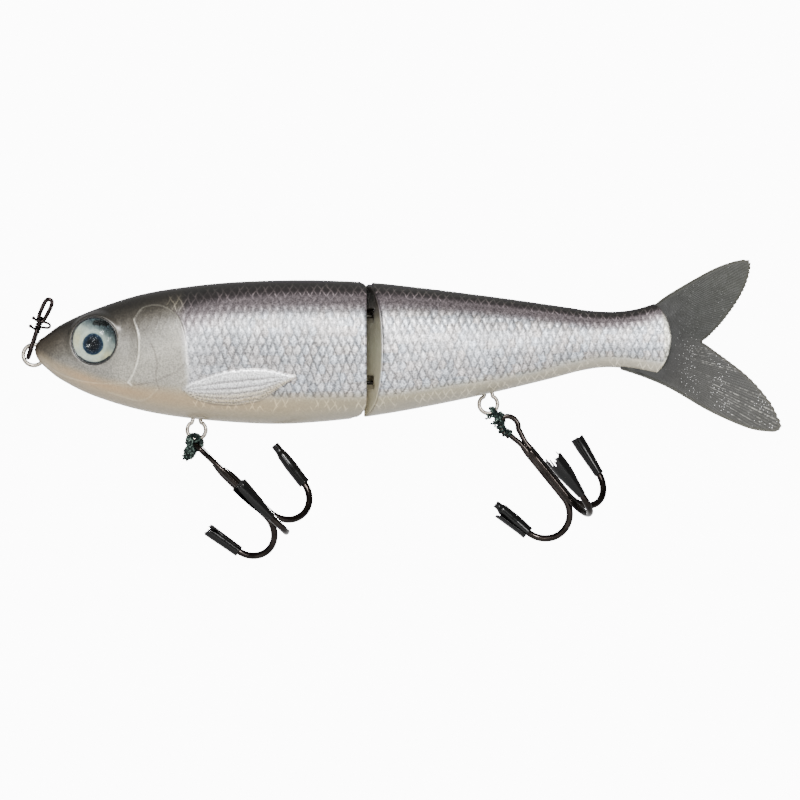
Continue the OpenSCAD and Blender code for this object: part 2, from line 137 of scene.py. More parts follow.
class Shader:
    """A material round one Principled BSDF. Inputs take numbers, colours or the sockets of other nodes."""

    def __init__(self, name):
        self.material = bpy.data.materials.new(name)
        self.material.use_nodes = True
        tree = self.material.node_tree
        self.nodes, self.links, self.bsdf = tree.nodes, tree.links, tree.nodes["Principled BSDF"]

    def fill(self, node, inputs):
        for key, value in inputs.items():
            if isinstance(value, bpy.types.NodeSocket):
                self.links.new(value, node.inputs[key])
            else:
                node.inputs[key].default_value = value

    def node(self, kind, inputs=(), **settings):
        node = self.nodes.new("ShaderNode" + kind)
        for key, value in settings.items():
            setattr(node, key, value)
        self.fill(node, dict(inputs))
        return node

    def set(self, inputs):
        self.fill(self.bsdf, inputs)

    def noise(self, scale, detail=2.0, rough=0.5):
        place = self.node("TexCoord").outputs["Object"]
        return self.node("TexNoise", {"Vector": place, "Scale": scale, "Detail": detail,
                                      "Roughness": rough}).outputs["Fac"]

    def mapped(self, value, lo, hi, from_lo=0.0, from_hi=1.0):
        return self.node("MapRange", {"Value": value, "From Min": from_lo, "From Max": from_hi,
                                      "To Min": lo, "To Max": hi}).outputs["Result"]

    def bump(self, height, distance, strength=1.0):
        node = self.node("Bump", {"Height": height, "Distance": distance, "Strength": strength})
        self.set({"Normal": node.outputs["Normal"]})

    def multiply(self, colour, value):
        return self.node("Mix", {"Factor": 1.0, 6: colour, 7: value},
                         data_type="RGBA", blend_type="MULTIPLY").outputs[2]

    def blend(self, factor, a, b):
        """Colour a, or b where factor is 1. A tuple is a 0-255 display colour."""
        a, b = ((*linear(c), 1) if isinstance(c, tuple) else c for c in (a, b))
        return self.node("Mix", {"Factor": factor, 6: a, 7: b}, data_type="RGBA").outputs[2]

    def attribute(self, name, output="Fac"):
        return self.node("Attribute", attribute_name=name).outputs[output]

    def calc(self, operation, *values):
        return self.node("Math", enumerate(values), operation=operation).outputs[0]

    def surface(self, factor, a, b):
        """Ends the material in shader a, or b where factor is 1."""
        both = self.node("MixShader", {"Fac": factor, 1: a, 2: b})
        self.links.new(both.outputs[0], self.nodes["Material Output"].inputs["Surface"])


# Power that curves the edge of a scale
SCALE_ARCH = 1.1


def scale_edges(s):
    """1 on the edges of the scales and 0 inside them, as broad lines and as thin ones."""
    u, v = s.attribute("scale_u"), s.attribute("scale_v")
    u = s.calc("ADD", u, s.mapped(s.noise(420), -0.1, 0.1, 0.3, 0.7))
    part = s.calc("FRACT", v)
    odd = s.calc("MODULO", s.calc("ADD", s.calc("FLOOR", v), 200.0), 2.0)
    near = []
    for share, shift in ((part, odd), (s.calc("SUBTRACT", 1.0, part), s.calc("SUBTRACT", 1.0, odd))):
        arch = s.calc("SUBTRACT", 1.0, s.calc("POWER", share, SCALE_ARCH))
        line = s.calc("MULTIPLY", s.calc("ADD", shift, arch), 0.5)
        near.append(s.calc("PINGPONG", s.calc("SUBTRACT", u, line), 0.5))
    close = s.calc("MINIMUM", *near)
    fade = s.mapped(s.noise(700, 2.0, 0.6), 0.6, 1, 0.36, 0.56)
    return [s.calc("MULTIPLY", s.mapped(close, 1, 0, lo, hi), fade)
            for lo, hi in ((0.07, 0.24), (0.03, 0.12))]


def paint_material():
    """Moulded and sprayed skin: colours come from the mesh, scale edges and flake from the lacquer."""
    s = Shader("lure_paint")
    flake, grain = s.noise(2300, 1.0, 0.6), s.noise(1000, 3.0, 0.6)
    edge, thin = scale_edges(s)
    silver, given = s.attribute("silver"), s.attribute("edge_gain")
    shine = s.calc("MULTIPLY", silver, s.mapped(flake, -0.7, 0.9, 0.33, 0.67))
    speck = s.calc("ADD", s.mapped(flake, 0.95, 1.05, 0.35, 0.65), shine)
    gain = s.calc("ADD", s.calc("MULTIPLY", edge, s.calc("MINIMUM", given, 0.0)),
                  s.calc("MULTIPLY", thin, s.calc("MAXIMUM", given, 0.0)))
    tone = s.calc("MULTIPLY", speck, s.mapped(grain, 0.95, 1.05, 0.35, 0.65))
    tone = s.calc("MULTIPLY", tone, s.calc("ADD", gain, 1.0))
    s.set({"Base Color": s.multiply(s.attribute("paint", "Color"), tone), "Metallic": silver,
           "Roughness": s.mapped(grain, 0.3, 0.46, 0.3, 0.7), "Coat Weight": 0.2, "Coat Roughness": 0.25})
    depth = s.calc("MULTIPLY", edge, s.attribute("edge_depth"))
    s.bump(s.calc("SUBTRACT", s.mapped(flake, 0, 0.12), depth), 0.00015)
    return s.material


def metal_material(name, light, dark, roughness, scale=1200.0, metallic=1.0):
    s = Shader(name)
    wear = s.noise(scale, 4.0, 0.65)
    s.set({"Base Color": s.blend(s.mapped(wear, 0, 1, 0.35, 0.65), light, dark), "Metallic": metallic,
           "Roughness": s.mapped(wear, roughness * 0.7, roughness * 1.4, 0.3, 0.7)})
    s.bump(wear, 0.000004, 0.15)
    return s.material


def matt_material(name, roughness, grain, grain_bump=0.0):
    """A matt surface in the mesh's own colours."""
    s = Shader(name)
    fine = s.noise(grain, 2.0, 0.6)
    s.set({"Base Color": s.multiply(s.attribute("paint", "Color"), s.mapped(fine, 0.88, 1.12, 0.3, 0.7)),
           "Roughness": s.mapped(fine, roughness * 0.85, roughness * 1.15, 0.3, 0.7),
           "Specular IOR Level": 0.08})
    if grain_bump:
        s.bump(fine, grain_bump, 0.5)
    return s.material


def soft_plastic_material():
    """Translucent soft plastic with glitter laid along the fin rays."""
    s = Shader("soft_plastic")
    cloud = s.noise(420, 3.0, 0.6)
    cells = s.node("TexVoronoi", {"Scale": 1900, "Vector": s.node("TexCoord").outputs["Object"]})
    bright = s.mapped(cells.outputs["Distance"], 1, 0, 0.12, 0.2)
    chosen = s.mapped(cells.outputs["Color"], 0, 1, 0.52, 0.6)
    patch = s.mapped(s.noise(110, 1.0), 0.35, 1, 0.36, 0.56)
    pick = s.calc("MULTIPLY", s.calc("MULTIPLY", bright, chosen),
                  s.calc("MULTIPLY", patch, s.attribute("glitter")))
    base = s.multiply(s.attribute("paint", "Color"), s.mapped(cloud, 0.9, 1.1, 0.3, 0.7))
    s.set({"Base Color": s.blend(pick, base, (232, 233, 235)),
           "Roughness": s.mapped(cloud, 0.42, 0.56, 0.3, 0.7), "Specular IOR Level": 0.22,
           "Subsurface Weight": 0.06, "Subsurface Radius": (0.002,) * 3, "Subsurface Scale": 0.4})
    s.bump(cloud, 0.00004, 0.4)
    return s.material


def clear_material():
    """Clear cast dome: the print shows through it, with gloss on top."""
    s = Shader("eye_clear")
    s.set({"Base Color": (0.8, 0.84, 0.86, 1), "Metallic": 1.0,
           "Roughness": s.mapped(s.noise(300), 0.02, 0.1, 0.4, 0.7)})
    gloss = s.node("Fresnel", {"IOR": 1.16}).outputs[0]
    s.surface(gloss, s.node("BsdfTransparent").outputs[0], s.bsdf.outputs[0])
    return s.material


def tube_plastic_material():
    s = Shader("guard_plastic")
    scuff = s.noise(700, 4.0, 0.7)
    s.set({"Base Color": s.blend(s.mapped(scuff, 0, 1, 0.45, 0.75), (4, 4, 5), (15, 13, 12)),
           "Roughness": s.mapped(scuff, 0.12, 0.24, 0.3, 0.7), "Specular IOR Level": 0.2})
    s.bump(scuff, 0.000008, 0.2)
    return s.material


PAINT = paint_material()
STEEL = metal_material("bright_steel", (206, 203, 198), (158, 154, 148), 0.24, 300)
PIN_STEEL = metal_material("hinge_steel", (112, 110, 104), (70, 68, 64), 0.4)
NICKEL = metal_material("hook_nickel", (92, 86, 83), (48, 44, 42), 0.17, 260)
SNAP_NICKEL = metal_material("snap_nickel", (80, 72, 70), (32, 28, 28), 0.16, 500)
LEAD = metal_material("ballast_metal", (112, 112, 114), (84, 84, 88), 0.55, 500)
GUARD = tube_plastic_material()
# painted shade: dark material for the ring that stands for the shadow in the gap round each eye
SOCKET_SHADE = metal_material("eye_rim_lacquer", (38, 36, 34), (22, 21, 20), 0.3, 800, 0.0)
TWINE = matt_material("twine", 0.8, 6000, 0.00008)
EYE_PRINT = matt_material("eye_print", 0.65, 1800)
EYE_CLEAR = clear_material()
SOFT = soft_plastic_material()


# ---------------------------------------------------------------- meshes

def build(name, verts, faces, material, body=None, replaces=(), slot=None, attrs=None):
    """A mesh from mm coordinates. attrs maps a name to per-vertex values, or to RGB colours."""
    mesh = bpy.data.meshes.new(name)
    mesh.from_pydata((np.asarray(verts, float) * MM).tolist(), [], [list(map(int, f)) for f in faces])
    for key, values in (attrs or {}).items():
        values = np.asarray(values, np.float32)
        if values.ndim == 2:
            layer = mesh.attributes.new(key, "FLOAT_COLOR", "POINT")
            rgba = np.concatenate([values, np.ones((len(values), 1), np.float32)], 1)
            layer.data.foreach_set("color", rgba.ravel())
        else:
            layer = mesh.attributes.new(key, "FLOAT", "POINT")
            layer.data.foreach_set("value", values)
    mesh.materials.append(material)
    mesh.polygons.foreach_set("use_smooth", [True] * len(mesh.polygons))
    mesh.update()
    ob = bpy.data.objects.new(name, mesh)
    bpy.context.scene.collection.objects.link(ob)
    if body:
        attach(ob, body)
    if replaces:
        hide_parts(*replaces)
    return ob


def ring_quads(rings, count, start=0, closed=False, flip=False):
    """Quads between rings of count points each. closed joins the last ring to the first."""
    faces = []
    for i in range(rings if closed else rings - 1):
        a, b = start + i * count, start + (i + 1) % rings * count
        for j in range(count):
            k = (j + 1) % count
            faces.append((a + j, b + j, b + k, a + k) if flip else (a + j, a + k, b + k, b + j))
    return faces


class Soup:
    """Collects closed pieces of mesh for one object."""

    def __init__(self):
        self.verts, self.faces, self.colours = [], [], []

    def add(self, verts, faces, colours=None):
        start = len(self.verts)
        self.verts += [tuple(v) for v in verts]
        self.faces += [[i + start for i in f] for f in faces]
        if colours is not None:
            self.colours += [tuple(c) for c in colours]

    def tube(self, path, radius, sides=14, closed=False, colour=None):
        """A round tube along a 3-D path. radius is a number or one value for each point."""
        p = np.array(path, float)
        n = len(p)
        r = np.full(n, radius) if np.isscalar(radius) else np.asarray(radius, float)
        if closed:
            tangent = np.roll(p, -1, 0) - np.roll(p, 1, 0)
        else:
            tangent = np.gradient(p, axis=0)
        tangent /= np.linalg.norm(tangent, axis=1)[:, None]
        normal = np.cross(tangent[0], (0.13, 0.9, 0.42))
        normal /= np.linalg.norm(normal)
        normals = []
        for t in tangent:
            normal = normal - t * (normal @ t)
            normal /= np.linalg.norm(normal)
            normals.append(normal)
        normals = np.array(normals)
        if closed:  # spread the twist that a closed loop leaves
            last = normals[-1] - tangent[0] * (normals[-1] @ tangent[0])
            last /= np.linalg.norm(last)
            twist = math.atan2(np.cross(last, normals[0]) @ tangent[0], last @ normals[0])
            side = np.cross(tangent, normals)
            a = (twist * np.arange(n) / n)[:, None]
            normals = normals * np.cos(a) + side * np.sin(a)
        side = np.cross(tangent, normals)
        ang = np.arange(sides) * 2 * math.pi / sides
        rings = (p[:, None] + r[:, None, None] * (normals[:, None] * np.cos(ang)[None, :, None]
                                                  + side[:, None] * np.sin(ang)[None, :, None]))
        verts = rings.reshape(-1, 3)
        faces = ring_quads(n, sides, closed=closed)
        if not closed:
            faces.append(range(sides)[::-1])
            faces.append(range((n - 1) * sides, n * sides))
        colours = None
        if colour is not None:
            colours = [colour(q) for q in verts] if callable(colour) else [colour] * len(verts)
        self.add(verts, faces, colours)

    def build(self, name, material, **kw):
        attrs = {"paint": np.array(self.colours)} if self.colours else None
        return build(name, self.verts, self.faces, material, attrs=attrs, **kw)


# ---------------------------------------------------------------- body skin

# Exponent that squares the section, points round one side of it and round all of it
SQUARE, SIDE_POINTS = 2.3, 150
RING_POINTS = 2 * SIDE_POINTS - 2
# Radius of the rounded ends, and half the wall between the pockets of the left and right sides
FILLET, SLOT_WEB = 0.45, 0.2
# Depth of the scale edges in the lacquer
EDGE_DEPTH = 0.09
# X of the pectoral fin's two ends
FIN_START, FIN_END = 39.3, 71
TOP = curve_of([[-0.45, 1.4], [0.6, 3.7], [3, 5.3], [8, 8.5], [16, 12.1], [28, 16], [40, 18.1], [54, 19.5],
                [70, 20], [84, 19.7], [96, 18.8], [120, 15.9], [140, 13.1], [148, 11.9], [155, 11.6],
                [162, 12.6], [171, 15.4]])
LOW = curve_of([[-0.45, 1.3], [0.5, -1.1], [3, -3.5], [8, -7], [16, -10.9], [28, -14.6], [40, -16.7],
                [54, -18], [66, -18.4], [78, -17.7], [90, -16.3], [104, -13.9], [120, -10.6], [136, -6.8],
                [146, -4.2], [153, -3.3], [160, -4], [171, -6.5]])
WIDE = curve_of([[-0.45, 0.06], [-0.1, 1.0], [0.5, 1.7], [1.8, 2.7], [6, 4.8], [12, 7.0], [18, 8.8],
                 [24, 10.2], [34, 11.7], [44, 12.4], [55, 12.7], [66, 12.8], [77, 12.8], [90, 12.6],
                 [98, 12.3], [109, 11.4], [119, 10.2], [130, 8.7], [140, 7.2], [147, 6.1], [153, 5.4],
                 [159, 4.9], [165, 4.6], [171, 4.4]])
MIDLINE = curve_of([[-1, 1.4], [20, 1], [60, 0.9], [90, 1.3], [120, 2.6], [150, 4.2], [172, 4.3]])
CREAM = curve_of([[-1, 1.8], [3, -0.6], [6, -2.6], [12, -4.8], [18, -6.9], [25, -8.4], [33, -9.2],
                  [44, -10.2], [60, -11.2], [80, -11.3], [92, -10.9], [110, -8.5], [130, -5.3],
                  [142, -2.4], [151, -0.7], [160, -1.0], [172, -2.6]])
FADE = curve_of([[-1, 5], [8, 8], [16, 11], [25, 13.5], [36, 11], [48, 8.2], [60, 7.0], [88, 6.2],
                 [100, 5.1], [120, 4.2], [150, 3.6], [172, 3.6]])

GILL_FRONT = [[26.7, 9.4], [27.9, 5.1], [28.0, 0.2], [27.0, -3.8], [25.2, -7.3]]
GILL_HOOK = [[25.2, -7.3], [26.2, -8.1]]
GILL_ARCH = [[26.8, 9.6], [29.0, 12.4], [32.2, 13.3], [35.2, 12.6], [38.2, 10.3], [39.7, 7.0], [40.6, 2.5],
             [40.7, -1.8]]
GILL_LOW = [[40.7, -1.8], [38.2, -4.4], [34.8, -5.9], [31.4, -7.3], [26.2, -8.1]]
GILL_INNER = [[31.3, 2.9], [32.4, 0.2], [32.9, -2.6], [32.5, -6.0], [33.4, -9.2]]
GILL_RIM = [[40.7, -1.8], [41.3, -5.2], [37.6, -8.0]]
JAW = [[2.9, -2.3], [6.3, -4.6], [11.4, -6.6], [18.2, -7.6], [25.2, -7.4]]
CHIN = [[19.9, -9.9], [26.7, -12.0], [30.1, -11.7], [33.1, -8.9]]
FIN_TOP = curve_of([[39.3, -8.5], [43, -7.0], [49, -4.9], [54, -4.0], [59, -3.7], [64, -4.2], [68, -5.2],
                    [71, -5.5]])
FIN_LOW = curve_of([[39.3, -9.6], [43, -11.6], [48, -12.9], [53.7, -13.2], [58, -12.5], [61, -11.7],
                    [66.1, -8.4], [69, -6.4], [71, -5.2]])


def ring_points(x, count):
    """count points round a half section from keel to back, evenly spaced, as (y, z, arc length)."""
    if x < 6:  # the snout's tip is blunt
        x = x - 0.7 * (1 - x / 6)
    a = np.linspace(-math.pi / 2, math.pi / 2, 400)
    z0, h, w = (TOP(x) + LOW(x)) / 2, (TOP(x) - LOW(x)) / 2, WIDE(x)
    c, s = np.cos(a), np.sin(a)
    y = w * np.abs(c) ** (2 / SQUARE)
    z = z0 + h * np.sign(s) * np.abs(s) ** (2 / SQUARE)
    y[0] = y[-1] = 0
    length = np.concatenate([[0], np.cumsum(np.hypot(np.diff(y), np.diff(z)))])
    t = np.linspace(0, length[-1], count)
    return np.interp(t, length, y), np.interp(t, length, z), t


SECTION_X = np.concatenate([0.25 + 6 * np.linspace(0, 1, 50) ** 2, np.arange(6.5, 171.1, 0.35)])


def section_table(count):
    """Half sections at many X places: y, z and the height along the surface from the midline."""
    rows = []
    for x in SECTION_X:
        y, z, t = ring_points(x, count)
        rows.append((y, z, t - np.interp(MIDLINE(x), z, t)))
    return np.array(rows).transpose(1, 0, 2)


def on_sections(x, table):
    """y, z and surface height for an array of X places, one column for each point round the section."""
    return [np.stack([np.interp(x[:, j], SECTION_X, layer[:, j]) for j in range(x.shape[1])], 1)
            for layer in table]


def scale_lattice(x, t):
    """Distance in mm to the nearest scale edge, each scale's column and row, and the place in the lattice."""
    grid = np.linspace(0, 180, 721)
    pitch = np.interp(grid, [0, 90, 150, 180], [2.22, 2.16, 1.98, 1.92])
    u = np.interp(x, grid, np.concatenate([[0], np.cumsum(0.25 / pitch[:-1])]))
    wide = np.interp(x, grid, pitch)
    row_h = np.interp(x, [0, 90, 150, 180], [2.55, 2.45, 2.2, 2.15])
    v = t / row_h
    u = u + 0.05 * np.sin(v * 2.1 + x * 0.13) + 0.03 * np.sin(v * 5.3 + x * 0.4)
    low = np.floor(v)
    best = np.full(x.shape, 9.0)
    for row in (low, low + 1):
        e = u - 0.5 * (row % 2) - 0.5 * (1 - np.abs(v - row) ** SCALE_ARCH)
        best = np.minimum(best, np.abs(e - np.round(e)) * wide * 0.86)
    cell_row = np.round(v)
    cell_col = np.floor(u - 0.5 * (cell_row % 2) - 0.5 * (1 - np.abs(v - cell_row) ** SCALE_ARCH))
    return best, cell_col, cell_row, u, v


# the last column is painted light: a painted highlight on the raised lines, and painted shade in the grooves
# where it is negative
GROOVES = (  # points, height, width and highlight of each moulded line
    (GILL_FRONT, 0.2, 0.2, 1.0), (GILL_HOOK, 0.2, 0.24, 0.9), (GILL_ARCH, 0.1, 0.17, 0.6),
    (GILL_LOW, -0.14, 0.16, -0.5), (GILL_INNER, -0.12, 0.15, -0.45), (GILL_RIM, 0.1, 0.18, 0.3),
    (JAW, -0.1, 0.16, 0.35), (CHIN, 0.09, 0.17, 0.3),
)


def moulded_lines(x, z):
    """Relief of the gill, jaw and chin lines, with their painted highlight and painted shade."""
    height, glow = np.zeros(x.shape), np.zeros(x.shape)
    where = (x > 1) & (x < 43)
    for points, lift, width, shine in GROOVES:
        near = np.exp(-(polyline_distance(x[where], z[where], points) / width) ** 2)
        height[where] += lift * near
        glow[where] += shine * near
    return height, glow


def pectoral_fin(x, z):
    """Depth inside the fin's edge, the place below its top as a share, and its rays."""
    top, low = FIN_TOP(x), FIN_LOW(x)
    beside = (x > FIN_START) & (x < FIN_END)
    inside = beside & (z < top) & (z > low)
    edge = np.where(beside, np.minimum(top - z, z - low), -9.0)
    share = np.where(inside, (top - z) / np.maximum(top - low, 0.2), 0)
    rays = np.zeros(x.shape)
    for place, width in ((0.27, 0.026), (0.47, 0.03), (0.62, 0.024), (0.76, 0.024), (0.88, 0.02)):
        bend = place + 0.05 * np.sin((x - 40) / 31 * math.pi)
        rays += np.exp(-((share - bend) / width) ** 2) * inside
    return edge, share, rays * (1 - smooth(66, 70, x))


def skin_surface(p, t):
    """Relief in mm, colours and lacquer values for points p, with t the height along the surface."""
    x, y, z = p[..., 0], p[..., 1], p[..., 2]
    # the marks lie where the lines of sight from the camera meet the bulging flank
    reach = -CAMERA[1] / (-CAMERA[1] - np.abs(y))
    x, z = CAMERA[0] + (x - CAMERA[0]) * reach, CAMERA[2] + (z - CAMERA[2]) * reach
    fade = (TOP(np.clip(x, -0.4, 171)) - z) / FADE(x)
    rear = smooth(86, 90, x)
    head = 1 - smooth(38.5, 41, x + 0.12 * (z - 4) * (z < 4))
    # the gill plate's rear edge bounds the scales
    gill_edge = np.interp(z, [-20, -9, -5, -1.8, 2.5, 7, 10.3, 12.6, 16, 20],
                          [41, 40.5, 41.2, 40.8, 40.7, 39.9, 38.4, 35.4, 34.5, 34.5])
    behind_gill = smooth(0.0, 0.6, x - gill_edge)
    over_cream = z - CREAM(x)
    faint = behind_gill * smooth(-4.4, -2.6, over_cream) * (1 - smooth(-1.6, 0.2, over_cream))
    fin_edge, share, rays = pectoral_fin(x, z)
    fin = smooth(-0.05, 0.35, fin_edge)
    root = 1 - smooth(39.5, 42, x)
    scaled = behind_gill * smooth(-1.6, 0.2, over_cream) * (1 - fin)
    d, col, row, su, sv = scale_lattice(x, t)

    # relief: scales, moulded lines, the gill plate, the fin on the flank and the glued seam
    height, lines = moulded_lines(x, z)
    height += 0.1 * smooth(0.05, 0.75, d) * scaled * smooth(0.12, 0.4, fade)
    height += 0.22 * (smooth(-0.3, 0.3, gill_edge - x) * smooth(25.0, 28.5, x) * smooth(-9, -7, z)
                      * (1 - smooth(12.2, 13.4, z)))
    height += fin * (0.42 - 0.25 * root) - 0.22 * rays * fin
    height += 0.12 * np.exp(-((z - FIN_LOW(x)) / 0.25) ** 2) * ((x > 41) & (x < 70))
    height -= 0.08 * np.exp(-(y / 0.12) ** 2)

    # colours: back and head, then scale faces with painted light by height and along the body, belly, fin,
    # painted highlight and shade on the moulded lines, snout and the end at the tail
    back = ramp(fade, [[0, (34, 32, 30)], [0.2, (40, 38, 36)], [0.4, (56, 51, 51)], [0.6, (88, 81, 83)],
                       [0.8, (122, 115, 117)], [1, (152, 147, 149)], [1.25, (186, 184, 186)],
                       [1.6, (205, 205, 206)]])
    head_back = ramp(fade, [[0, (36, 34, 30)], [0.12, (46, 43, 38)], [0.3, (82, 78, 70)],
                            [0.5, (116, 112, 104)], [0.75, (138, 135, 128)], [1, (152, 150, 143)],
                            [1.35, (176, 174, 168)]])
    base = mix(back, head_back * (1 - 0.1 * smooth(24, 18, x)[..., None]), head)
    # painted light: the lower flank is lighter and the top and the front of the flank darker; each scale also
    # gets a random tone
    light_and_tone = 9 * smooth(2, -7, z) - 12 * smooth(100, 60, x) * (1 - rear) + 14 * (hash01(col, row, 1) - 0.5)
    light_and_tone = light_and_tone - 10 * smooth(3, 11, z) * (1 - 0.6 * rear)
    face = np.array([199.0, 199, 200]) + light_and_tone[..., None]
    face = face + (hash01(col, row, 2)[..., None] - 0.5) * np.array([-3.0, 1, 4.5])
    face = mix(face, (143, 136, 138), smooth(1.5, 0.85, fade) * 0.9)
    dark_zone = smooth(0.72, 0.45, fade)
    cover = scaled * (0.95 - 0.3 * smooth(1.0, 0.0, (x - 41) / 12) * (1 - rear))
    colour = mix(base, mix(face, base, dark_zone), cover)
    cream = mix(ramp(x, [[0, (170, 158, 136)], [14, (182, 167, 142)], [30, (176, 165, 144)],
                         [60, (176, 168, 150)], [88, (170, 165, 150)], [120, (180, 176, 163)],
                         [165, (190, 187, 178)]]), (178, 175, 167), smooth(4.5, 1.2, z - LOW(x)) * 0.6)
    cream_mask = smooth(2.2, -1.6, over_cream) * (1 - 0.3 * rear * smooth(-1, 1.2, over_cream))
    colour = mix(colour, cream, cream_mask * (1 - 0.6 * fin))
    fin_colour = mix((214, 214, 214), (196, 190, 176), smooth(0.5, 0.95, share))
    fin_colour = mix(fin_colour, (150, 148, 148), np.clip(rays, 0, 1) * 0.75)
    colour = mix(colour, fin_colour, fin * (0.95 - 0.5 * root))
    body_end = smooth(167.8, 168.6, x + 0.03 * np.abs(z - 4) ** 1.6)
    for tint, amount in (
        ((128, 122, 118), np.exp(-((fin_edge + 0.18) / 0.14) ** 2) * 0.5 * ((x > 43) & (x < 70))),
        # painted highlight on the raised lines, then painted shade in the grooves
        ((225, 224, 220), np.clip(lines, 0, 1) * 0.75),
        ((112, 106, 98), np.clip(-lines, 0, 1) * 0.8),
        ((84, 74, 60), smooth(12, 1, x) * smooth(-2.5, 4, z) * 0.6),
        ((206, 205, 200), body_end * 0.8 * (fade > 0.7)),
    ):
        colour = mix(colour, tint, amount)

    # lacquer: how strongly the scale edges darken or lighten the paint, and how much silver is in it
    broken = value_noise(x, z, 1.6, 3)
    gain = cover * (-0.7 * (1 - dark_zone) * (0.45 + 0.55 * smooth(0.7, 1.5, fade))
                    + dark_zone * (2.0 + 6.5 * broken ** 1.8) * smooth(0.1, 0.24, fade))
    gain = np.where(faint > 0.02, faint * 0.9 * smooth(0.35, 0.55, broken), gain) * (1 - fin)
    silver = 0.28 + 0.3 * cover * smooth(0.3, 0.9, fade) * (1 - cream_mask) + 0.25 * fin
    silver = silver * (1 - 0.8 * cream_mask * (1 - fin))
    lacquer = {"silver": silver, "scale_u": su, "scale_v": sv, "edge_gain": gain, "edge_depth": EDGE_DEPTH}
    return height, linear(np.clip(colour, 0, 255)), lacquer


EYE = np.array([17.1, 7.5, 3.65])
EYE_R, SOCKET_SHADE_R = 6.2, 6.26
YAW = math.radians(12)
EYE_OUT = np.array([-math.sin(YAW), math.cos(YAW), 0])
EYE_ALONG = np.array([math.cos(YAW), math.sin(YAW), 0])


def eye_socket(p):
    """Sinks the skin under the eye and raises a lip round it."""
    q = p - EYE
    out, along, up = q @ EYE_OUT, q @ EYE_ALONG, q[..., 2]
    rho = np.hypot(along, up)
    lip = smooth(8.4, 6.5, rho) * np.maximum(0.85 - out, 0) + 0.07 * np.exp(-((rho - 6.75) / 0.35) ** 2)
    out_new = out + np.where(p[..., 1] > 0.5, lip, 0)
    out_new = np.where(rho < 6.3, np.minimum(out_new, -0.2), out_new)
    return p + np.where(p[..., 0] < 30, out_new - out, 0)[..., None] * EYE_OUT


class Shell:
    """Points, colours, lacquer values and faces of one body section."""

    def __init__(self, points, colours, lacquer):
        self.points, self.colours, self.lacquer = list(points), list(colours), list(lacquer)
        self.faces = []

    def add(self, point, colour):
        """Adds a point without lacquer and returns its number."""
        self.points.append(point)
        self.colours.append(colour)
        self.lacquer.append([0.0] * len(self.lacquer[0]))
        return len(self.points) - 1

    def face(self, corners, forward):
        self.faces.append(tuple(corners if forward else corners[::-1]))

    def sink(self, quads, depth, forward):
        """Moves a patch of quads to the X given by depth and walls it in, in a dark colour that is painted
        shade in the pocket.
        """
        moved = {}
        for a in (a for q in quads for a in q):
            if a not in moved:
                moved[a] = self.add((depth, *self.points[a][1:]), linear((58, 56, 52)))
        for q in quads:
            self.face([moved[a] for a in q], forward)
        edges = dict.fromkeys((a, b) for q in quads for a, b in zip(q, q[1:] + q[:1]))
        for a, b in edges:
            if (b, a) not in edges:
                self.face((a, b, moved[b], moved[a]), forward)

    def cap(self, start, face, slots, forward):
        """Closes the ring from start with strips that run from side to side, with pockets for the hinge."""
        columns = 27
        y_edge, z_edge = np.array(self.points[start:start + SIDE_POINTS])[:, 1:].T
        half = np.linspace(0.03, 1, (columns + 1) // 2)
        shares = np.concatenate([-half[::-1], half])
        index = {}
        for i in range(SIDE_POINTS):
            for j, share in enumerate(shares):
                if i in (0, SIDE_POINTS - 1) or j == columns:
                    index[i, j] = start + i
                elif j == 0:
                    index[i, j] = start + RING_POINTS - i
                else:
                    y = share * y_edge[i]
                    index[i, j] = self.add((face(abs(y), z_edge[i]), y, z_edge[i]), bevel_colour(z_edge[i]))
        pockets = {}
        for i in range(SIDE_POINTS - 1):
            for j in range(columns):
                y = (shares[j] + shares[j + 1]) / 2 * (y_edge[i] + y_edge[i + 1]) / 2
                z = (z_edge[i] + z_edge[i + 1]) / 2
                quad = [index[i, j], index[i, j + 1], index[i + 1, j + 1], index[i + 1, j]]
                quad = [q for k, q in enumerate(quad) if q != quad[k - 1]]
                if len(set(quad)) < 3:
                    continue
                slot = next((s for s in slots if s[0] < z < s[1] and SLOT_WEB < abs(y) < s[2]), None)
                if slot is None:
                    self.face(quad, forward)
                else:
                    pockets.setdefault((slot, y > 0), []).append(quad)
        for (slot, _), quads in pockets.items():
            self.sink(quads, slot[3], forward)


def side_points(xs, front_edge, rear_edge):
    """Points, surface heights and outward normals of one side of a section, from keel to back."""
    table = section_table(SIDE_POINTS)
    lo, hi = xs[0], xs[-1]
    f = ((xs - lo) / (hi - lo))[:, None]
    x = np.repeat(xs[:, None], SIDE_POINTS, 1)
    for _ in range(3):  # the ends lean with the height, and the sections follow them
        y, z, heights = on_sections(x, table)
        x = np.repeat(xs[:, None], SIDE_POINTS, 1) + (rear_edge(y[-1], z[-1]) - hi)[None] * smooth(0.88, 1, f)
        if front_edge:
            x = x + (front_edge(y[0], z[0]) - lo)[None] * (1 - smooth(0, 0.12, f))
    pts = np.stack([x, y, z], -1)
    du, dv = np.gradient(pts, axis=0), np.gradient(pts, axis=1)
    dv[:, 0], dv[:, -1] = [0, 1, 0], [0, -1, 0]
    du[:, 0, 1] = du[:, -1, 1] = 0
    normal = -np.cross(du, dv)
    normal /= np.maximum(np.linalg.norm(normal, axis=2), 1e-9)[..., None]
    if (normal[:, SIDE_POINTS // 2, 1] < 0).sum() > len(xs) / 2:
        normal *= -1
    return pts, heights, normal


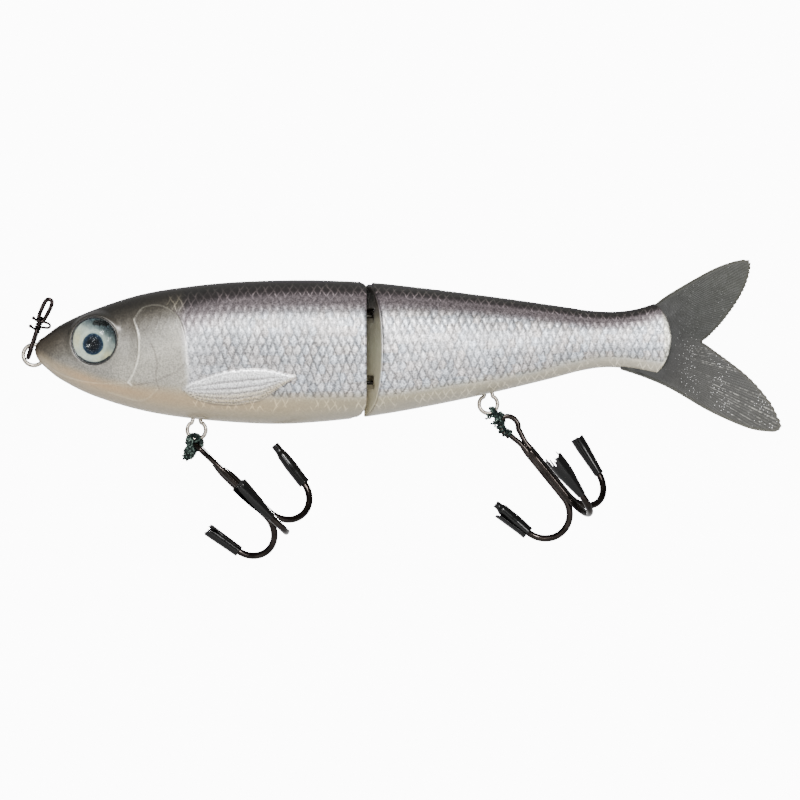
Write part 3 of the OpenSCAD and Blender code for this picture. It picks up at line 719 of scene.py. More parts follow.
def make_skin(name, xs, body, replaces, rear, front=None, slots=()):
    """A closed, detailed section of the body. rear and front are (X of the edge, X of the flat face), both
    functions of y and z. A section with no front ends in the nose."""
    pts, heights, normal = side_points(xs, front and front[0], rear[0])
    relief, colour, lacquer = skin_surface(pts, heights)
    keys = sorted(lacquer)
    values = np.stack([np.broadcast_to(lacquer[k], pts.shape[:2]) for k in keys], -1)
    f = (xs - xs[0]) / (xs[-1] - xs[0])
    ends = (1 - smooth(0.994, 1, f)) * (smooth(0, 0.006, f) if front else smooth(0.3, 3.0, xs))
    pts = pts + normal * (relief * ends[:, None])[..., None]
    if not front:
        pts = eye_socket(pts)
    pts[:, 0, 1] = pts[:, -1, 1] = 0

    def fillet(index, direction, steps=4):
        """Rows that round an open end over towards its flat face."""
        rows = []
        for k in range(1, steps + 1):
            a = math.pi / 2 * k / steps
            q = pts[index].copy()
            inward = FILLET * (1 - math.cos(a))
            q[:, 1] -= np.minimum(inward, q[:, 1]) * normal[index][:, 1]
            q[:, 2] -= inward * normal[index][:, 2]
            q[:, 0] += direction * FILLET * math.sin(a)
            rows.append((q, colour[index], values[index]))
        return rows

    rows = (fillet(0, -1)[::-1] if front else []) + list(zip(pts, colour, values)) + fillet(-1, 1)
    mirror = np.array([1, -1, 1])
    rings = [[np.concatenate([part, (part * turn)[1:-1][::-1]]) for part, turn in zip(row, (mirror, 1, 1))]
             for row in rows]
    shell = Shell(*(np.concatenate(parts) for parts in zip(*rings)))
    shell.faces = ring_quads(len(rows), RING_POINTS, flip=True)
    if front:
        shell.cap(0, front[1], slots, False)
    else:
        tip = shell.add((0.2, 0, 1.5), shell.colours[0])
        shell.faces += [(tip, j, (j + 1) % RING_POINTS) for j in range(RING_POINTS)]
    shell.cap((len(rows) - 1) * RING_POINTS, rear[1], (), True)
    lacquer = np.array(shell.lacquer)
    attrs = {"paint": np.array(shell.colours), **{k: lacquer[:, i] for i, k in enumerate(keys)}}
    build(name, shell.points, shell.faces, PAINT, body, replaces, "body_paint", attrs)


def bevel_colour(z):
    """Colours of the bare faces at the joint: dark under the back, olive grey lower down, all set lighter
    than the plastic as painted light for these recessed faces.
    """
    return linear(ramp(np.array([z]), [[-17, (196, 193, 182)], [-8, (188, 185, 173)], [2, (182, 181, 170)],
                                       [9, (164, 162, 151)], [13, (84, 79, 73)], [16, (44, 41, 38)]])[0])


# X of the front section's end and of the rear section's upright apex, and the slope of its V
END_X, APEX_X, SLOPE = 88.4, 88.0, 0.415
# Arc that ends the painted body at the tail: centre X and Z, and radius
TAIL_ARC = (155.6, 4.2, 13.55)
# Hinge pockets: lowest and highest Z, reach to each side, X of the bottom
SLOTS = ((8.5, 12.1, 6.2, 96.7), (-9.2, -5.6, 6.2, 96.7))


def corner(over, r):
    """How far a rounded corner of radius r falls back, for heights over its start."""
    t = np.clip(over / r, 0, 0.995)
    return np.where(over > 0, r - r * np.sqrt(1 - t * t), 0)


def front_end(y, z):
    """Rear edge of the front section, with its rounded keel and back."""
    return END_X - corner(-12.5 - z, 4.4) - corner(z - 17.7, 1.6)


def front_face(y, z):
    return min(float(front_end(y, z)) + FILLET, END_X - 1.4 + 1.7 * min(y / 12.6, 1))


def rear_start(y, z):
    return APEX_X + FILLET + SLOPE * y + corner(z - 16.9, 2.3)


def rear_face(y, z):
    return float(rear_start(np.float64(y), np.float64(z))) - FILLET


def tail_end(y, z):
    return TAIL_ARC[0] + np.sqrt(np.maximum(TAIL_ARC[2] ** 2 - (z - TAIL_ARC[1]) ** 2, 4.0))


nose = 0.25 + 7.75 * (np.linspace(0, 1, 60) ** 1.9)
make_skin("front_skin", np.concatenate([nose, np.linspace(8.0, END_X, 330)[1:]]), "front_body",
          ["front_shell_left", "front_shell_right"], (front_end, front_face))
make_skin("rear_skin", np.linspace(APEX_X + FILLET, 169.1, 330), "rear_body",
          ["rear_shell_left", "rear_shell_right"], (tail_end, lambda y, z: float(tail_end(y, z)) + FILLET),
          (rear_start, rear_face), SLOTS)


# ---------------------------------------------------------------- eyes

def iris_colour(a, b):
    """Printed iris: a is the place towards the tail and b the place upwards, from the eye's centre."""
    rho = np.hypot(a, b)
    pupil = np.hypot(a + 0.35, (b + 0.9) * 0.97)
    c = ramp(b + 0.6 * a, [[-6, (184, 188, 184)], [-2, (190, 190, 176)], [1.5, (176, 182, 178)],
                           [4, (140, 150, 150)], [6, (98, 112, 116)]])
    cloud = value_noise(a, b, 1.1, 7) - 0.5
    c = c + cloud[..., None] * np.array([16.0, 14, 10])
    c = mix(c, (192, 198, 194), np.exp(-((pupil - 3.5) / 0.5) ** 2) * 0.6)
    core = ramp(pupil, [[0, (13, 17, 21)], [1.5, (15, 22, 30)], [2.2, (32, 50, 68)], [2.7, (48, 70, 88)]])
    c = mix(c, core, smooth(2.95, 2.6, pupil + 0.25 * cloud))
    # a darker patch at the upper rear of the iris
    upper_dark_patch = np.exp(-((a - 2.1) / 2.6) ** 2 - ((b - 4.9) / 1.15) ** 2)
    c = mix(c, (44, 50, 48),
            smooth(0.34, 0.56, upper_dark_patch * (0.45 + 1.1 * value_noise(a, b, 0.7, 9))) * 0.9)
    # painted shade: the print darkens at its edge, a little wider at the bottom, for the shadow in the gap
    # round the dome
    return mix(c, (52, 58, 60), smooth(5.7, 6.1, rho + 0.25 * (b < -4)))


def closed_disc(rings, around, radius, top, bottom):
    """Points (a, b, out) and faces of a disc. top gives the front's height at a radius, bottom the back's."""
    pts = [(0, 0, top(0.0))]
    for i in range(1, rings + 1):
        r = radius * i / rings
        pts += [(r * math.cos(t), r * math.sin(t), top(r)) for t in np.arange(around) * 2 * math.pi / around]
    pts += [(a, b, bottom) for a, b, _ in pts[-around:]]
    back = 1 + rings * around
    faces = [(0, 1 + j, 1 + (j + 1) % around) for j in range(around)]
    faces += ring_quads(rings + 1, around, 1, flip=True)
    faces.append(tuple(range(back + around - 1, back - 1, -1)))
    return np.array(pts), faces


def eye_world(pts, side):
    w = EYE + pts[:, :1] * EYE_ALONG + pts[:, 1:2] * np.array([0, 0, 1]) + pts[:, 2:3] * EYE_OUT
    return w * np.array([1, side, 1])


DOME_H = 2.2
DOME_R = (EYE_R ** 2 + DOME_H ** 2) / (2 * DOME_H)


def dome_top(r):
    return 0.84 + math.sqrt(DOME_R ** 2 - r * r) - (DOME_R - DOME_H)


for label, side in (("left", -1), ("right", 1)):
    pts, faces = closed_disc(60, 160, EYE_R, lambda r: 0.8, 0.02)
    build("iris_" + label, eye_world(pts, side), [f[::side] for f in faces], EYE_PRINT, "front_body",
          ["eye_iris_" + label], "eye_print",
          {"paint": linear(np.clip(iris_colour(pts[:, 0], pts[:, 1]), 0, 255))})
    pts, faces = closed_disc(30, 96, EYE_R, dome_top, 0.83)
    build("dome_" + label, eye_world(pts, side), [f[::side] for f in faces], EYE_CLEAR, "front_body",
          ["eye_lens_" + label], "eye_dome")
    # painted shade: a dark ring at the dome's edge stands for the shadow in the socket's gap, thicker at the
    # bottom
    socket_shade = Soup()
    t = np.linspace(0, 2 * math.pi, 97)[:-1]
    ring = np.stack([SOCKET_SHADE_R * np.cos(t), SOCKET_SHADE_R * np.sin(t), np.full(96, 0.86)], 1)
    socket_shade.tube(eye_world(ring, side), 0.17 + 0.1 * smooth(0.1, -1, np.sin(t)), 10, True)
    socket_shade.build("eye_rim_" + label, SOCKET_SHADE, body="front_body")


# ---------------------------------------------------------------- tail

TAIL_EDGE = catmull([
    [166, 13.9], [170, 16.7], [180, 22.4], [186, 24.8], [190, 25.4], [191.1, 24], [190.3, 20], [188, 15],
    [184, 9.3], [180, 5], [178.3, 3.5], [180, 2.3], [190, -5.3], [196, -12], [198.2, -16], [199.3, -18.7],
    [198.4, -20.2], [196, -20.5], [190, -19.4], [180, -15], [170, -9.2], [163, -6.1], [156.4, -3.9]], 8)


def tail_mesh():
    """The soft tail, on rays from a hub inside the body, ribbed along them."""
    hub = np.array([155.0, 4.0])
    rel = TAIL_EDGE - hub
    ang = np.degrees(np.arctan2(rel[:, 1], rel[:, 0]))
    order = np.argsort(ang)
    ang, reach = ang[order], np.hypot(rel[:, 0], rel[:, 1])[order]
    rays, steps = 440, 100
    # more rays where the lobes are
    a = np.concatenate([np.linspace(-79, -46, 30), np.linspace(-46, 41.8, rays - 29)[1:]])
    r_out = np.interp(a, ang, reach)
    trailing = smooth(34, 28, np.abs(a - 3)) * smooth(24, 27, r_out)
    ragged = np.sin(np.radians(a) * 260) * (0.5 + hash01(np.floor(a * 1.4), a * 0, 4))
    r_out = r_out * (1 + 0.004 * trailing * ragged)
    share = np.linspace(0, 1, steps) ** 0.8
    r = 6 + (r_out[:, None] - 6) * share[None]
    x = hub[0] + r * np.cos(np.radians(a))[:, None]
    z = hub[1] + r * np.sin(np.radians(a))[:, None]
    edge = polyline_distance(x, z, TAIL_EDGE[::2], 1)
    edge = np.where(share[None] >= 1, 0.0, edge)
    half = np.interp(x, [165, 172, 185, 199], [2.0, 1.85, 1.05, 0.55])
    round_off = np.sqrt(np.clip(1 - (1 - np.clip(edge / 0.8, 0, 1)) ** 2, 0.0, 1))
    h = np.maximum(half * round_off, 0.03)
    away = np.hypot(x - TAIL_ARC[0], z - TAIL_ARC[1]) - 13.8
    phase = np.radians(a)[:, None] * (360 / 1.05) + 0.8 * np.sin(np.radians(a) * 9)[:, None] + 0 * r
    rib = np.cos(phase)
    relief = 0.02 * rib * smooth(0.2, 1.6, edge) * smooth(-2, 4, away)
    h = np.maximum(h + relief * smooth(0.2, 0.6, h), 0.03)
    lower = smooth(2.0, -2.0, z - 4 + (x - 175) * 0.05)
    c = mix(ramp(away, [[0, (32, 33, 29)], [6, (44, 45, 40)], [20, (64, 65, 58)], [38, (74, 74, 67)]]),
                        ramp(away, [[0, (44, 44, 41)], [5, (68, 67, 64)], [20, (88, 87, 84)],
                        [46, (86, 85, 79)]]), lower)
    lane = np.floor(phase / (2 * math.pi) + 0.5)
    streak = smooth(0.45, 0.7, hash01(lane, lane * 0 + 2, 27)) * smooth(0.2, 0.6, rib)
    fleck = smooth(0.45, 0.75, hash01(np.floor(r * 1.9 + 7 * hash01(lane, lane * 0, 29)), lane, 35))
    band = smooth(0.35, 0.6, value_noise(x * 0.4 + z * 0.25, z, 4.0, 37)) * smooth(1, 5, away)
    c = c + ((0.2 + 0.8 * lower) * streak * (8 + 70 * fleck * band))[..., None]
    # painted shade: the rib troughs are darker, and much darker within a few mm of the body
    c = c * (1 - 0.15 * smooth(0.2, -0.9, rib)[..., None])
    c = c * (1 - 0.55 * (smooth(5.5, 0.5, away) * smooth(-0.1, -0.8, rib))[..., None])
    c = mix(c, (150, 149, 141), smooth(1.0, 0.1, edge) * 0.7)
    c = c + 10 * (value_noise(x, z, 2.5, 21)[..., None] - 0.5)
    glitter = (0.16 + 0.8 * lower) * smooth(0.3, 1.2, edge) * smooth(0.5, 3, away)
    front = np.stack([x, -h, z], -1)
    back = np.stack([x, h, z], -1)
    n, m = x.shape
    loop = np.concatenate([front, back[:, ::-1]], 1)
    cols = np.concatenate([c, c[:, ::-1]], 1).reshape(-1, 3)
    glit = np.concatenate([glitter, glitter[:, ::-1]], 1).ravel()
    m2 = 2 * m
    faces = ring_quads(n, m2)
    for i, turn in ((0, 1), (n - 1, -1)):
        for j in range(m - 1):
            faces.append((i * m2 + j, i * m2 + m2 - 1 - j, i * m2 + m2 - 2 - j, i * m2 + j + 1)[::turn])
    ob = build("tail_skin", loop.reshape(-1, 3), faces, SOFT, None, ["tail_root", "tail_fin"], "soft_tail",
               {"paint": linear(np.clip(cols, 0, 255)), "glitter": glit})
    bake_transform(ob)


tail_mesh()


# ---------------------------------------------------------------- rings, snap

def hanger(name, node, body, centre, r, wire, neck, up):
    """A ring of wire whose two ends go up side by side into the body."""
    s = Soup()
    a = np.radians(np.linspace(118, 422, 60))
    loop = np.stack([centre[0] + r * np.cos(a), np.zeros(60), centre[1] + r * np.sin(a)], 1)
    start = [[centre[0] - neck, 0, centre[1] + up], [centre[0] - neck - 0.1, 0, centre[1] + up * 0.72]]
    end = [[centre[0] + neck + 0.1, 0, centre[1] + up * 0.72], [centre[0] + neck, 0, centre[1] + up]]
    path = catmull(np.concatenate([start, loop[::4], [loop[-1]], end]), 4)
    s.tube(path, wire / 2, 14)
    s.build(name, STEEL, body=body, replaces=[node])


hanger("front_ring", "front_hook_hanger", "front_body", (43.4, -20), 2.45, 1.08, 0.6, 6.5)
hanger("rear_ring", "rear_hook_hanger", "rear_body", (121.2, -13.1), 2.45, 1.08, 0.6, 6.5)
ring = Soup()
t = np.radians(np.arange(80) * 4.5)
ring.tube(np.stack([2.78 * np.cos(t), 0 * t, 2.78 * np.sin(t)], 1), 0.55, 14, True)
ring.tube([[2.6, 0, 0], [6, 0, 0], [12, 0, 0]], 0.475, 12)
ring.build("line_ring", STEEL, body="front_body", replaces=["nose_ring"])


def turned(points, place, lean):
    """Local points, leaned about Y so that their Z axis tips towards +X, then moved."""
    p = np.array(points, float)
    c, s = math.cos(math.radians(lean)), math.sin(math.radians(lean))
    return np.stack([p[:, 0] * c + p[:, 2] * s, p[:, 1], -p[:, 0] * s + p[:, 2] * c], 1) + np.array(place)


def oval(half, length, plane, waist=0.0, count=56):
    """A closed loop of wire from z = 0 to z = length, in the XZ or YZ plane."""
    t = np.linspace(0, 2 * math.pi, count + 1)[:-1]
    z = length / 2 - (length / 2 - half) * np.sign(np.cos(t)) * np.abs(np.cos(t)) ** 0.5 - half * np.cos(t)
    w = half * np.sign(np.sin(t)) * np.abs(np.sin(t)) ** 0.72 * (1 - waist * (1 - z / length))
    zero = np.zeros(count)
    return np.stack([w, zero, z] if plane == "XZ" else [zero, w, z], 1)


def ball(soup, centre, r, colour=None):
    t = np.linspace(0.02, math.pi - 0.02, 11)
    path = np.stack([np.zeros(11), np.zeros(11), -r * np.cos(t)], 1) + np.array(centre)
    soup.tube(path, r * np.sin(t), 12, colour=colour)


FOOT = (-1.5, 0, -0.75)
snap = Soup()
snap.tube(turned(oval(1.05, 8.6, "YZ"), FOOT, 18), 0.56, 12, True)
t = np.linspace(0, 1, 120)
wrap = np.stack([0.62 * np.cos(t * 30), 0.62 * np.sin(t * 30), 7.4 + 3.6 * t], 1)
snap.tube(turned(wrap, FOOT, 18), 0.33, 10)
snap.tube(turned([[0, 0, 6.6], [0, 0, 9], [0, 0, 11.6]], FOOT, 18), 0.45, 12)
for z, out in ((8.0, 2.0), (10.3, 1.9)):
    arm = [[0.3, -0.7, z], [-0.7, -0.6, z - 0.1], [-out * 0.7, -0.35, z + 0.05], [-out, -0.2, z + 0.25]]
    snap.tube(turned(catmull(arm, 5), FOOT, 18), 0.34, 10)
    ball(snap, turned([[-out, -0.2, z + 0.25]], FOOT, 18)[0], 0.5)
box = [[0.2, -0.5, 10.3], [1.4, -0.4, 10.4], [2.6, -0.2, 10.3], [2.95, 0, 9.7], [2.5, 0.1, 9.2],
       [1.2, 0.3, 8.9], [0.2, 0.5, 8.7]]
snap.tube(turned(catmull(box, 6), FOOT, 18), 0.34, 10)
top = turned([[0, 0, 10.2]], FOOT, 18)[0]
snap.tube(turned(oval(1.1, 6.4, "XZ", 0.2), top, 25), 0.57, 12, True)
snap.build("line_clip", SNAP_NICKEL, body="snap", replaces=["line_snap"], slot="snap_wire")


# ---------------------------------------------------------------- hooks and guards

def treble_place(points, eye, lean, roll):
    """Points of an upright hook, rolled about its shank, leaned and moved to its eye."""
    p = np.array(points, float)
    r, l = math.radians(roll), math.radians(-lean)
    x = p[:, 0] * math.cos(r) - p[:, 1] * math.sin(r)
    y = p[:, 0] * math.sin(r) + p[:, 1] * math.cos(r)
    z = p[:, 2]
    tilted = [x * math.cos(l) + z * math.sin(l), y, -x * math.sin(l) + z * math.cos(l)]
    return np.stack(tilted, 1) + np.array(eye)


# Lean of a point, radius of the bend, length of the shank, a wire's distance from the middle, its radius
FLARE, BEND, SHANK, OFFSET, WIRE_R = math.radians(10), 7.0, 24.0, 0.78, 0.92
# Where a guard begins, from the end of the bend
GUARD_START = -0.4


def prong(start):
    """Path and radii of one hook: shank, bend and point."""
    a = np.linspace(math.pi, 2 * math.pi - FLARE, 34)
    c = np.array([OFFSET + BEND, -SHANK])
    shank = [[OFFSET, -start - (SHANK - start) * k / 10] for k in range(10)]
    bend = [[c[0] + BEND * math.cos(q), c[1] + BEND * math.sin(q)] for q in a]
    up = np.array([math.sin(FLARE), math.cos(FLARE)])
    point = [np.array(bend[-1]) + up * d for d in (2, 5, 6.4, 8.5, 10)]
    xz = np.array(shank + bend + [list(q) for q in point])
    r = np.full(len(xz), WIRE_R)
    r[-3:] = [0.8, 0.45, 0.06]
    return np.stack([xz[:, 0], 0 * xz[:, 0], xz[:, 1]], 1), r


def treble(name, node, body, place, roll, turn, wide, tall):
    """Three hooks with a common eye loop, turned by turn and of half width wide and height tall."""
    eye, lean = place
    s = Soup()
    t = np.radians(np.linspace(-142, 142, 41))
    top = np.stack([0 * t, wide * np.sin(t), tall * np.cos(t)], 1)
    leg = [[0, 0.55, -9.5], [0, 0.6, -6.5], [0, 0.85, -4.6], [0, 1.2, -3.2]]
    loop = catmull([[0, -y, z] for _, y, z in leg] + top[::4].tolist() + leg[::-1], 5)
    s.tube(treble_place(loop, eye, lean, turn), 0.74, 14)
    for k in range(3):
        path, r = prong(tall + (4.6 if k == 0 else 1.9))
        r[:2] = [0.3, 0.7]
        s.tube(treble_place(path, eye, lean, roll + 120 * k), r, 16)
    core = [[0, 0, -z] for z in (5.5, 7, 10, 18, 24.6)]
    s.tube(treble_place(core, eye, lean, roll), 0.52, 12)
    s.build(name, NICKEL, body=body, replaces=[node], slot="hook_nickel")


def guard(name, node, side, k, length, radius, slit, face, tear, seed):
    """A split tube over point k of a hook. radius and slit are [[height, value], ...], face turns the slit
    from the viewer, tear is the depth of the ragged end."""
    body, place, roll = side
    around, along, wall = 61, 34, 0.24
    facing = -90 - (roll + 120 * k) + face
    grids = []
    for inner in (0, 1):
        g = np.zeros((along, around, 3))
        for j in range(around):
            u = j / (around - 1)
            teeth = 0.55 * hash01(math.floor(u * 6.999), seed, 1) + 0.45 * hash01(math.floor(u * 17), seed, 2)
            h = GUARD_START + (length - tear * teeth - GUARD_START) * np.linspace(0, 1, along)
            gap = np.interp(h, *np.transpose(slit))
            ang = np.radians(facing + gap + (360 - 2 * gap) * u)
            r = np.maximum(np.interp(h, *np.transpose(radius)) - wall * inner, 0.8)
            g[:, j] = np.stack([r * np.cos(ang), r * np.sin(ang), h], 1)
        grids.append(g)
    n = along * around
    verts = np.concatenate([g.reshape(-1, 3) for g in grids])
    faces = []
    for i in range(along - 1):
        for j in range(around - 1):
            a, b, c, d = i * around + j, i * around + j + 1, (i + 1) * around + j + 1, (i + 1) * around + j
            faces += [(a, b, c, d), (n + d, n + c, n + b, n + a)]
    for j in range(around - 1):
        t = (along - 1) * around + j
        faces += [(n + j, n + j + 1, j + 1, j), (t, t + 1, n + t + 1, n + t)]
    for i in range(along - 1):
        a, b = i * around, (i + 1) * around
        c, d = a + around - 1, b + around - 1
        faces += [(a, b, n + b, n + a), (n + c, n + d, d, c)]
    base = (OFFSET + BEND + BEND * math.cos(FLARE), 0, -SHANK - BEND * math.sin(FLARE))
    build(name, treble_place(turned(verts, base, math.degrees(FLARE)), *place, roll + 120 * k), faces, GUARD,
          body, [node] if node else (), "guard_tube" if node else None)


# Body, place of the eye with the shank's lean, and roll of each hook
FRONT = ("front_hook", ((45.010, 0, -25.536), 46), 33)
REAR = ("rear_hook", ((126.8, 0, -18.9), 39), -78)
treble("front_hook_set", "front_treble_hook", *FRONT, 0, 2.5, 2.6)
treble("rear_hook_set", "rear_treble_hook", *REAR, 90, 2.25, 2.75)
for spec in (
    ("front_tube_right", "front_point_guard_1", FRONT, 0, 12.9,
     [[-1, 1.5], [0, 1.55], [6, 1.65], [9.4, 1.45], [10.6, 1.1], [13, 1.12]], [[-1, 28], [1.2, 0], [13, 0]],
     70, 0.3, 3),
    ("front_tube_left", "front_point_guard_2", FRONT, 1, 10.6,
     [[-1, 1.5], [4, 1.62], [11, 1.78]], [[-1, 20], [0.8, 0], [5.5, 0], [8.5, 22], [11, 62]], 35, 1.9, 5),
    ("front_tube_middle", "front_point_guard_3", FRONT, 2, 12.4,
     [[-1, 1.0], [1, 1.2], [5, 1.85], [12, 2.6]], [[-1, 4], [3, 26], [8, 44], [12, 58]], -70, 1.2, 8),
    ("rear_tube_middle", "rear_point_guard_1", REAR, 0, 14.8,
     [[-1, 1.0], [1, 1.3], [7, 2.2], [15, 2.6]], [[-1, 6], [3, 46], [8, 84], [15, 118]], 165, 5.2, 12),
    ("rear_tube_right", "rear_point_guard_2", REAR, 1, 11.4,
     [[-1, 1.25], [1.5, 1.35], [8, 1.75], [12, 1.8]], [[-1, 16], [0.8, 0], [10.4, 0], [12, 16]], 60, 0.7, 15),
    ("rear_tube_left", "rear_point_guard_3", REAR, 2, 11.6,
     [[-1, 1.55], [4, 1.72], [9, 1.5], [10, 1.05], [12, 1.0]], [[-1, 18], [0.8, 0], [12, 0]], 60, 1.0, 18),
    ("rear_tube_flap", None, REAR, 2, 9.4,
     [[-1, 2.0], [2, 2.15], [10, 2.9]], [[-1, 120], [10, 132]], 95, 1.2, 22),
):
    guard(*spec)


# ---------------------------------------------------------------- twine

def twine_colour(q):
    v = hash01(math.floor(q[0] * 3.1), math.floor(q[1] * 3.3) + 7 * math.floor(q[2] * 3.7), 31)
    shades = ((0.42, (21, 30, 29)), (0.72, (48, 62, 59)), (0.86, (9, 10, 11)), (1.01, (140, 152, 146)))
    return linear(next(shade for limit, shade in shades if v < limit))


def cord(soup, path, closed=False, strands=3, thick=0.24, lay=0.3, pitch=1.5, fray=0.0):
    """Twisted strands along a path; fray spreads them towards the end."""
    p = np.array(path, float)
    length = np.concatenate([[0], np.cumsum(np.linalg.norm(np.diff(p, axis=0), axis=1))])
    total = length[-1] + (np.linalg.norm(p[0] - p[-1]) if closed else 0)
    n = max(12, int(total / 0.22))
    u = np.linspace(0, total, n, endpoint=not closed)
    src = np.concatenate([p, p[:1]]) if closed else p
    ls = np.concatenate([length, [total]]) if closed else length
    q = np.stack([np.interp(u, ls, src[:, k]) for k in range(3)], 1)
    tan = np.gradient(q, axis=0)
    tan /= np.linalg.norm(tan, axis=1)[:, None]
    side = np.cross(tan, (0.21, 0.37, 0.9))
    side /= np.maximum(np.linalg.norm(side, axis=1), 1e-6)[:, None]
    other = np.cross(tan, side)
    turns = max(1, round(total / pitch)) if closed else total / pitch
    for k in range(strands):
        a = 2 * math.pi * (turns * u / total + k / strands)
        spread = lay * (1 + fray * (u / total) ** 2)
        w = q + (side * np.cos(a)[:, None] + other * np.sin(a)[:, None]) * spread[:, None]
        soup.tube(w, thick * (0.85 + 0.3 * value_noise(u, u * 0 + k, 0.5, 40 + k)), 7, closed, twine_colour)


def circle(centre, r, u, v, count=40):
    t = np.arange(count) * 2 * math.pi / count
    return np.array(centre) + r * (np.cos(t)[:, None] * np.array(u) + np.sin(t)[:, None] * np.array(v))


front = Soup()
for turn, tip, r, dx, dz in ((-40, -12, 1.95, 0.0, 0.0), (38, -10, 1.9, 0.1, 0.05),
                             (-24, -16, 2.05, -0.3, -0.1), (22, -6, 2.1, -0.15, -0.2),
                             (60, -20, 1.3, -0.2, 0.3), (-62, 14, 1.2, -0.1, 0.5),
                             (8, -30, 1.35, -0.5, 0.0)):
    c, s = math.cos(math.radians(turn)), math.sin(math.radians(turn))
    w = (math.sin(math.radians(tip)), 0, math.cos(math.radians(tip)))
    cord(front, circle((43.1 + dx, 0, -23.1 + dz), r, (c, s, 0), w), True)
for place, r, u, v in (((41.7, 0, -23.6), 1.0, (0.9, 0.3, -0.3), (0, 1, 0)),
                       ((41.5, 0, -24.5), 1.05, (0.8, 0, 0.6), (0, 1, 0.2)),
                       ((41.2, -0.1, -25.4), 0.85, (1, 0, 0.2), (0, 1, -0.3)),
                       ((41.6, 0, -24.2), 0.9, (0.2, 0.2, 1), (0, 1, 0))):
    cord(front, circle(place, r, u, v), True)
cord(front, [(43.0, -0.6, -24.9), (42.1, -1.0, -25.6), (41.3, -0.8, -26.4), (40.6, -0.6, -27.0),
             (39.9, -0.5, -27.3)], fray=0.8)
cord(front, [(41.6, 0.2, -25.2), (41.1, 0.3, -26.2), (40.6, 0.4, -27.2), (40.3, 0.4, -28.0)],
     strands=2, fray=0.8)
for x, z, r in ((42.4, -24.6, 1.15), (42.0, -25.2, 1.25), (41.7, -25.9, 1.2), (41.4, -26.6, 1.05),
                (41.2, -27.1, 0.8)):
    cord(front, circle((x, 0, z), r, (0.95, 0.1, -0.3), (0, 1, 0.15)), True)
    cord(front, circle((x + 0.2, 0, z), r * 0.8, (0.5, 0.6, 0.6), (-0.3, 0.8, -0.5)), True)
front.build("front_lashing", TWINE, body="front_tie", replaces=["front_hook_tie"], slot="twine")

back = Soup()
for place, r, u, v in (((123.0, 0, -15.1), 1.15, (0.55, 0, -0.83), (0, 1, 0)),
                       ((122.6, 0, -14.9), 1.1, (0.8, 0.2, -0.6), (0, 1, 0.1)),
                       ((123.6, 0, -15.9), 1.0, (0.9, 0, 0.43), (0, 1, 0)),
                       ((124.1, 0, -16.5), 1.1, (0.83, 0, 0.55), (0, 1, 0.1))):
    cord(back, circle(place, r, u, v), True)
cord(back, [(122.3, -0.8, -14.9), (123.3, -1.0, -16.0), (124.6, -1.1, -16.9)])
cord(back, [(122.9, 0.8, -14.7), (123.9, 0.9, -15.8), (124.9, 0.9, -17.2)])
limb = treble_place([[-2.25 * math.sin(q) * (1 - 0.3 * ((1 - math.cos(q)) / 2) ** 2), 0, 2.75 * math.cos(q)]
                     for q in np.linspace(0.15, 2.5, 14)], *REAR[1], 0)
t = np.linspace(0, 1, 150)
centre = np.stack([np.interp(t, np.linspace(0, 1, 14), limb[:, k]) for k in range(3)], 1)
along = np.gradient(centre, axis=0)
along /= np.linalg.norm(along, axis=1)[:, None]
flat = np.cross(along, (0, 1, 0))
wind = centre + 0.92 * (flat * np.cos(t * 40)[:, None] + np.array([0, 1, 0]) * np.sin(t * 40)[:, None])
cord(back, wind, strands=2, thick=0.3, lay=0.14)
cord(back, [(122.4, -0.7, -16.0), (121.5, -0.8, -16.5), (120.6, -0.6, -16.4)], strands=2, fray=1.4)
cord(back, [(123.5, -1.0, -17.4), (122.8, -1.0, -18.0), (122.4, -0.8, -18.7)], strands=2, fray=1.4)
back.build("rear_lashing", TWINE, body="rear_tie", replaces=["rear_hook_tie"], slot="twine")


# ---------------------------------------------------------------- camera, light, floor

def add_light(name, place, aim, size, power):
    data = bpy.data.lights.new(name, "AREA")
    data.shape = "RECTANGLE"
    data.size, data.size_y = size
    data.energy = power
    ob = bpy.data.objects.new(name, data)
    ob.location = place
    ob.rotation_euler = (Vector(aim) - Vector(place)).to_track_quat("-Z", "Y").to_euler()
    bpy.context.scene.collection.objects.link(ob)


def add_camera():
    cam = bpy.data.cameras.new("camera")
    cam.lens = 36 * 0.85 / 0.2133
    cam.sensor_width = 36
    cam.clip_start, cam.clip_end = 0.01, 50
    ob = bpy.data.objects.new("camera", cam)
    ob.location = [v * MM for v in CAMERA]
    ob.rotation_euler = (math.pi / 2, 0, 0)
    bpy.context.scene.collection.objects.link(ob)
    bpy.context.scene.camera = ob


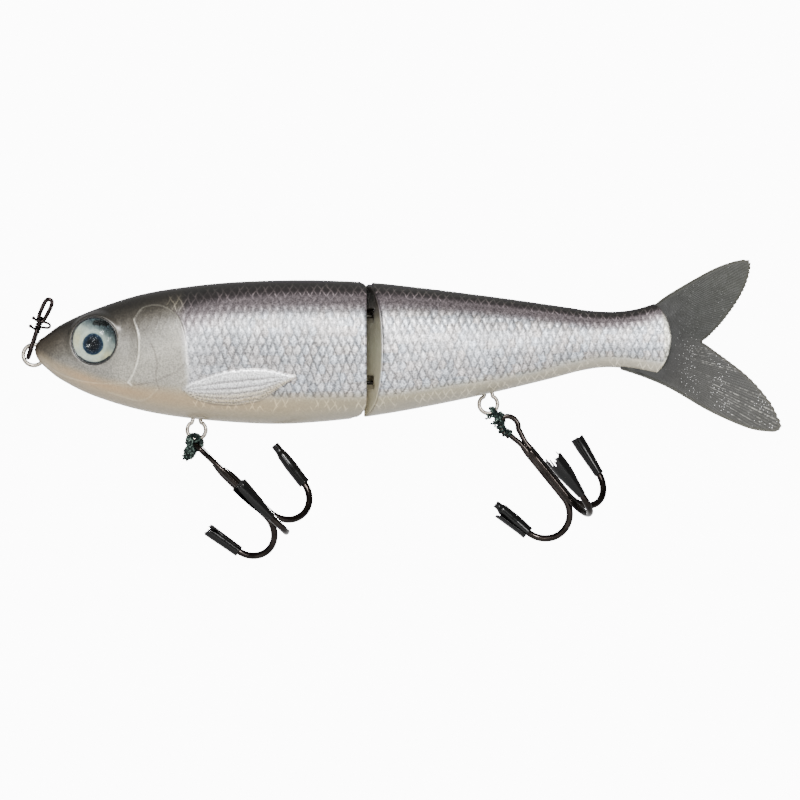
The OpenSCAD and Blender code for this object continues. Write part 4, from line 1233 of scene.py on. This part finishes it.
def add_world():
    """White behind the part as the camera sees it, and a dimmer warm white as the light on it."""
    world = bpy.data.worlds.new("studio")
    world.use_nodes = True
    nodes, links = world.node_tree.nodes, world.node_tree.links
    seen, lit = nodes["Background"], nodes.new("ShaderNodeBackground")
    seen.inputs["Color"].default_value = (1, 1, 1, 1)
    seen.inputs["Strength"].default_value = WHITE
    lit.inputs["Color"].default_value = (1, 0.995, 0.985, 1)
    lit.inputs["Strength"].default_value = 0.42
    path, choose = nodes.new("ShaderNodeLightPath"), nodes.new("ShaderNodeMixShader")
    links.new(path.outputs["Is Camera Ray"], choose.inputs["Fac"])
    links.new(lit.outputs[0], choose.inputs[1])
    links.new(seen.outputs[0], choose.inputs[2])
    links.new(choose.outputs[0], nodes["World Output"].inputs["Surface"])
    bpy.context.scene.world = world


def add_floor():
    s = Shader("pale_floor")
    s.set({"Base Color": (0.86, 0.86, 0.86, 1), "Roughness": 0.9})
    glow = s.node("Emission", {"Strength": s.mapped(s.noise(2), WHITE - 0.1, WHITE + 0.1, 0.3, 0.7)})
    s.surface(s.node("LightPath").outputs["Is Camera Ray"], s.bsdf.outputs[0], glow.outputs[0])
    reach, z = 6000, -165
    corners = [(-reach, -reach, z), (reach, -reach, z), (reach, reach, z), (-reach, reach, z)]
    build("floor", corners, [(0, 1, 2, 3)], s.material)


add_camera()
add_light("key", (0.04, -0.85, 0.42), (0.09, 0, 0), (0.2, 0.16), 13)
add_light("front_fill", (0.4, -0.86, 0.1), (0.09, 0, 0), (0.22, 0.2), 6.5)
add_light("left_fill", (-0.35, -0.9, 0.12), (0.05, 0, 0), (0.2, 0.2), 3)
add_light("back_key", (0.15, 0.95, 0.12), (0.09, 0, 0), (0.3, 0.24), 12)
add_world()
add_floor()

for name, material in (("upper_hinge_eye", PIN_STEEL), ("lower_hinge_eye", PIN_STEEL),
                       ("hinge_pin", PIN_STEEL), ("front_ballast", LEAD), ("rear_ballast", LEAD)):
    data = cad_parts[name].data
    data.materials.clear()
    data.materials.append(material)
    data.polygons.foreach_set("use_smooth", [True] * len(data.polygons))
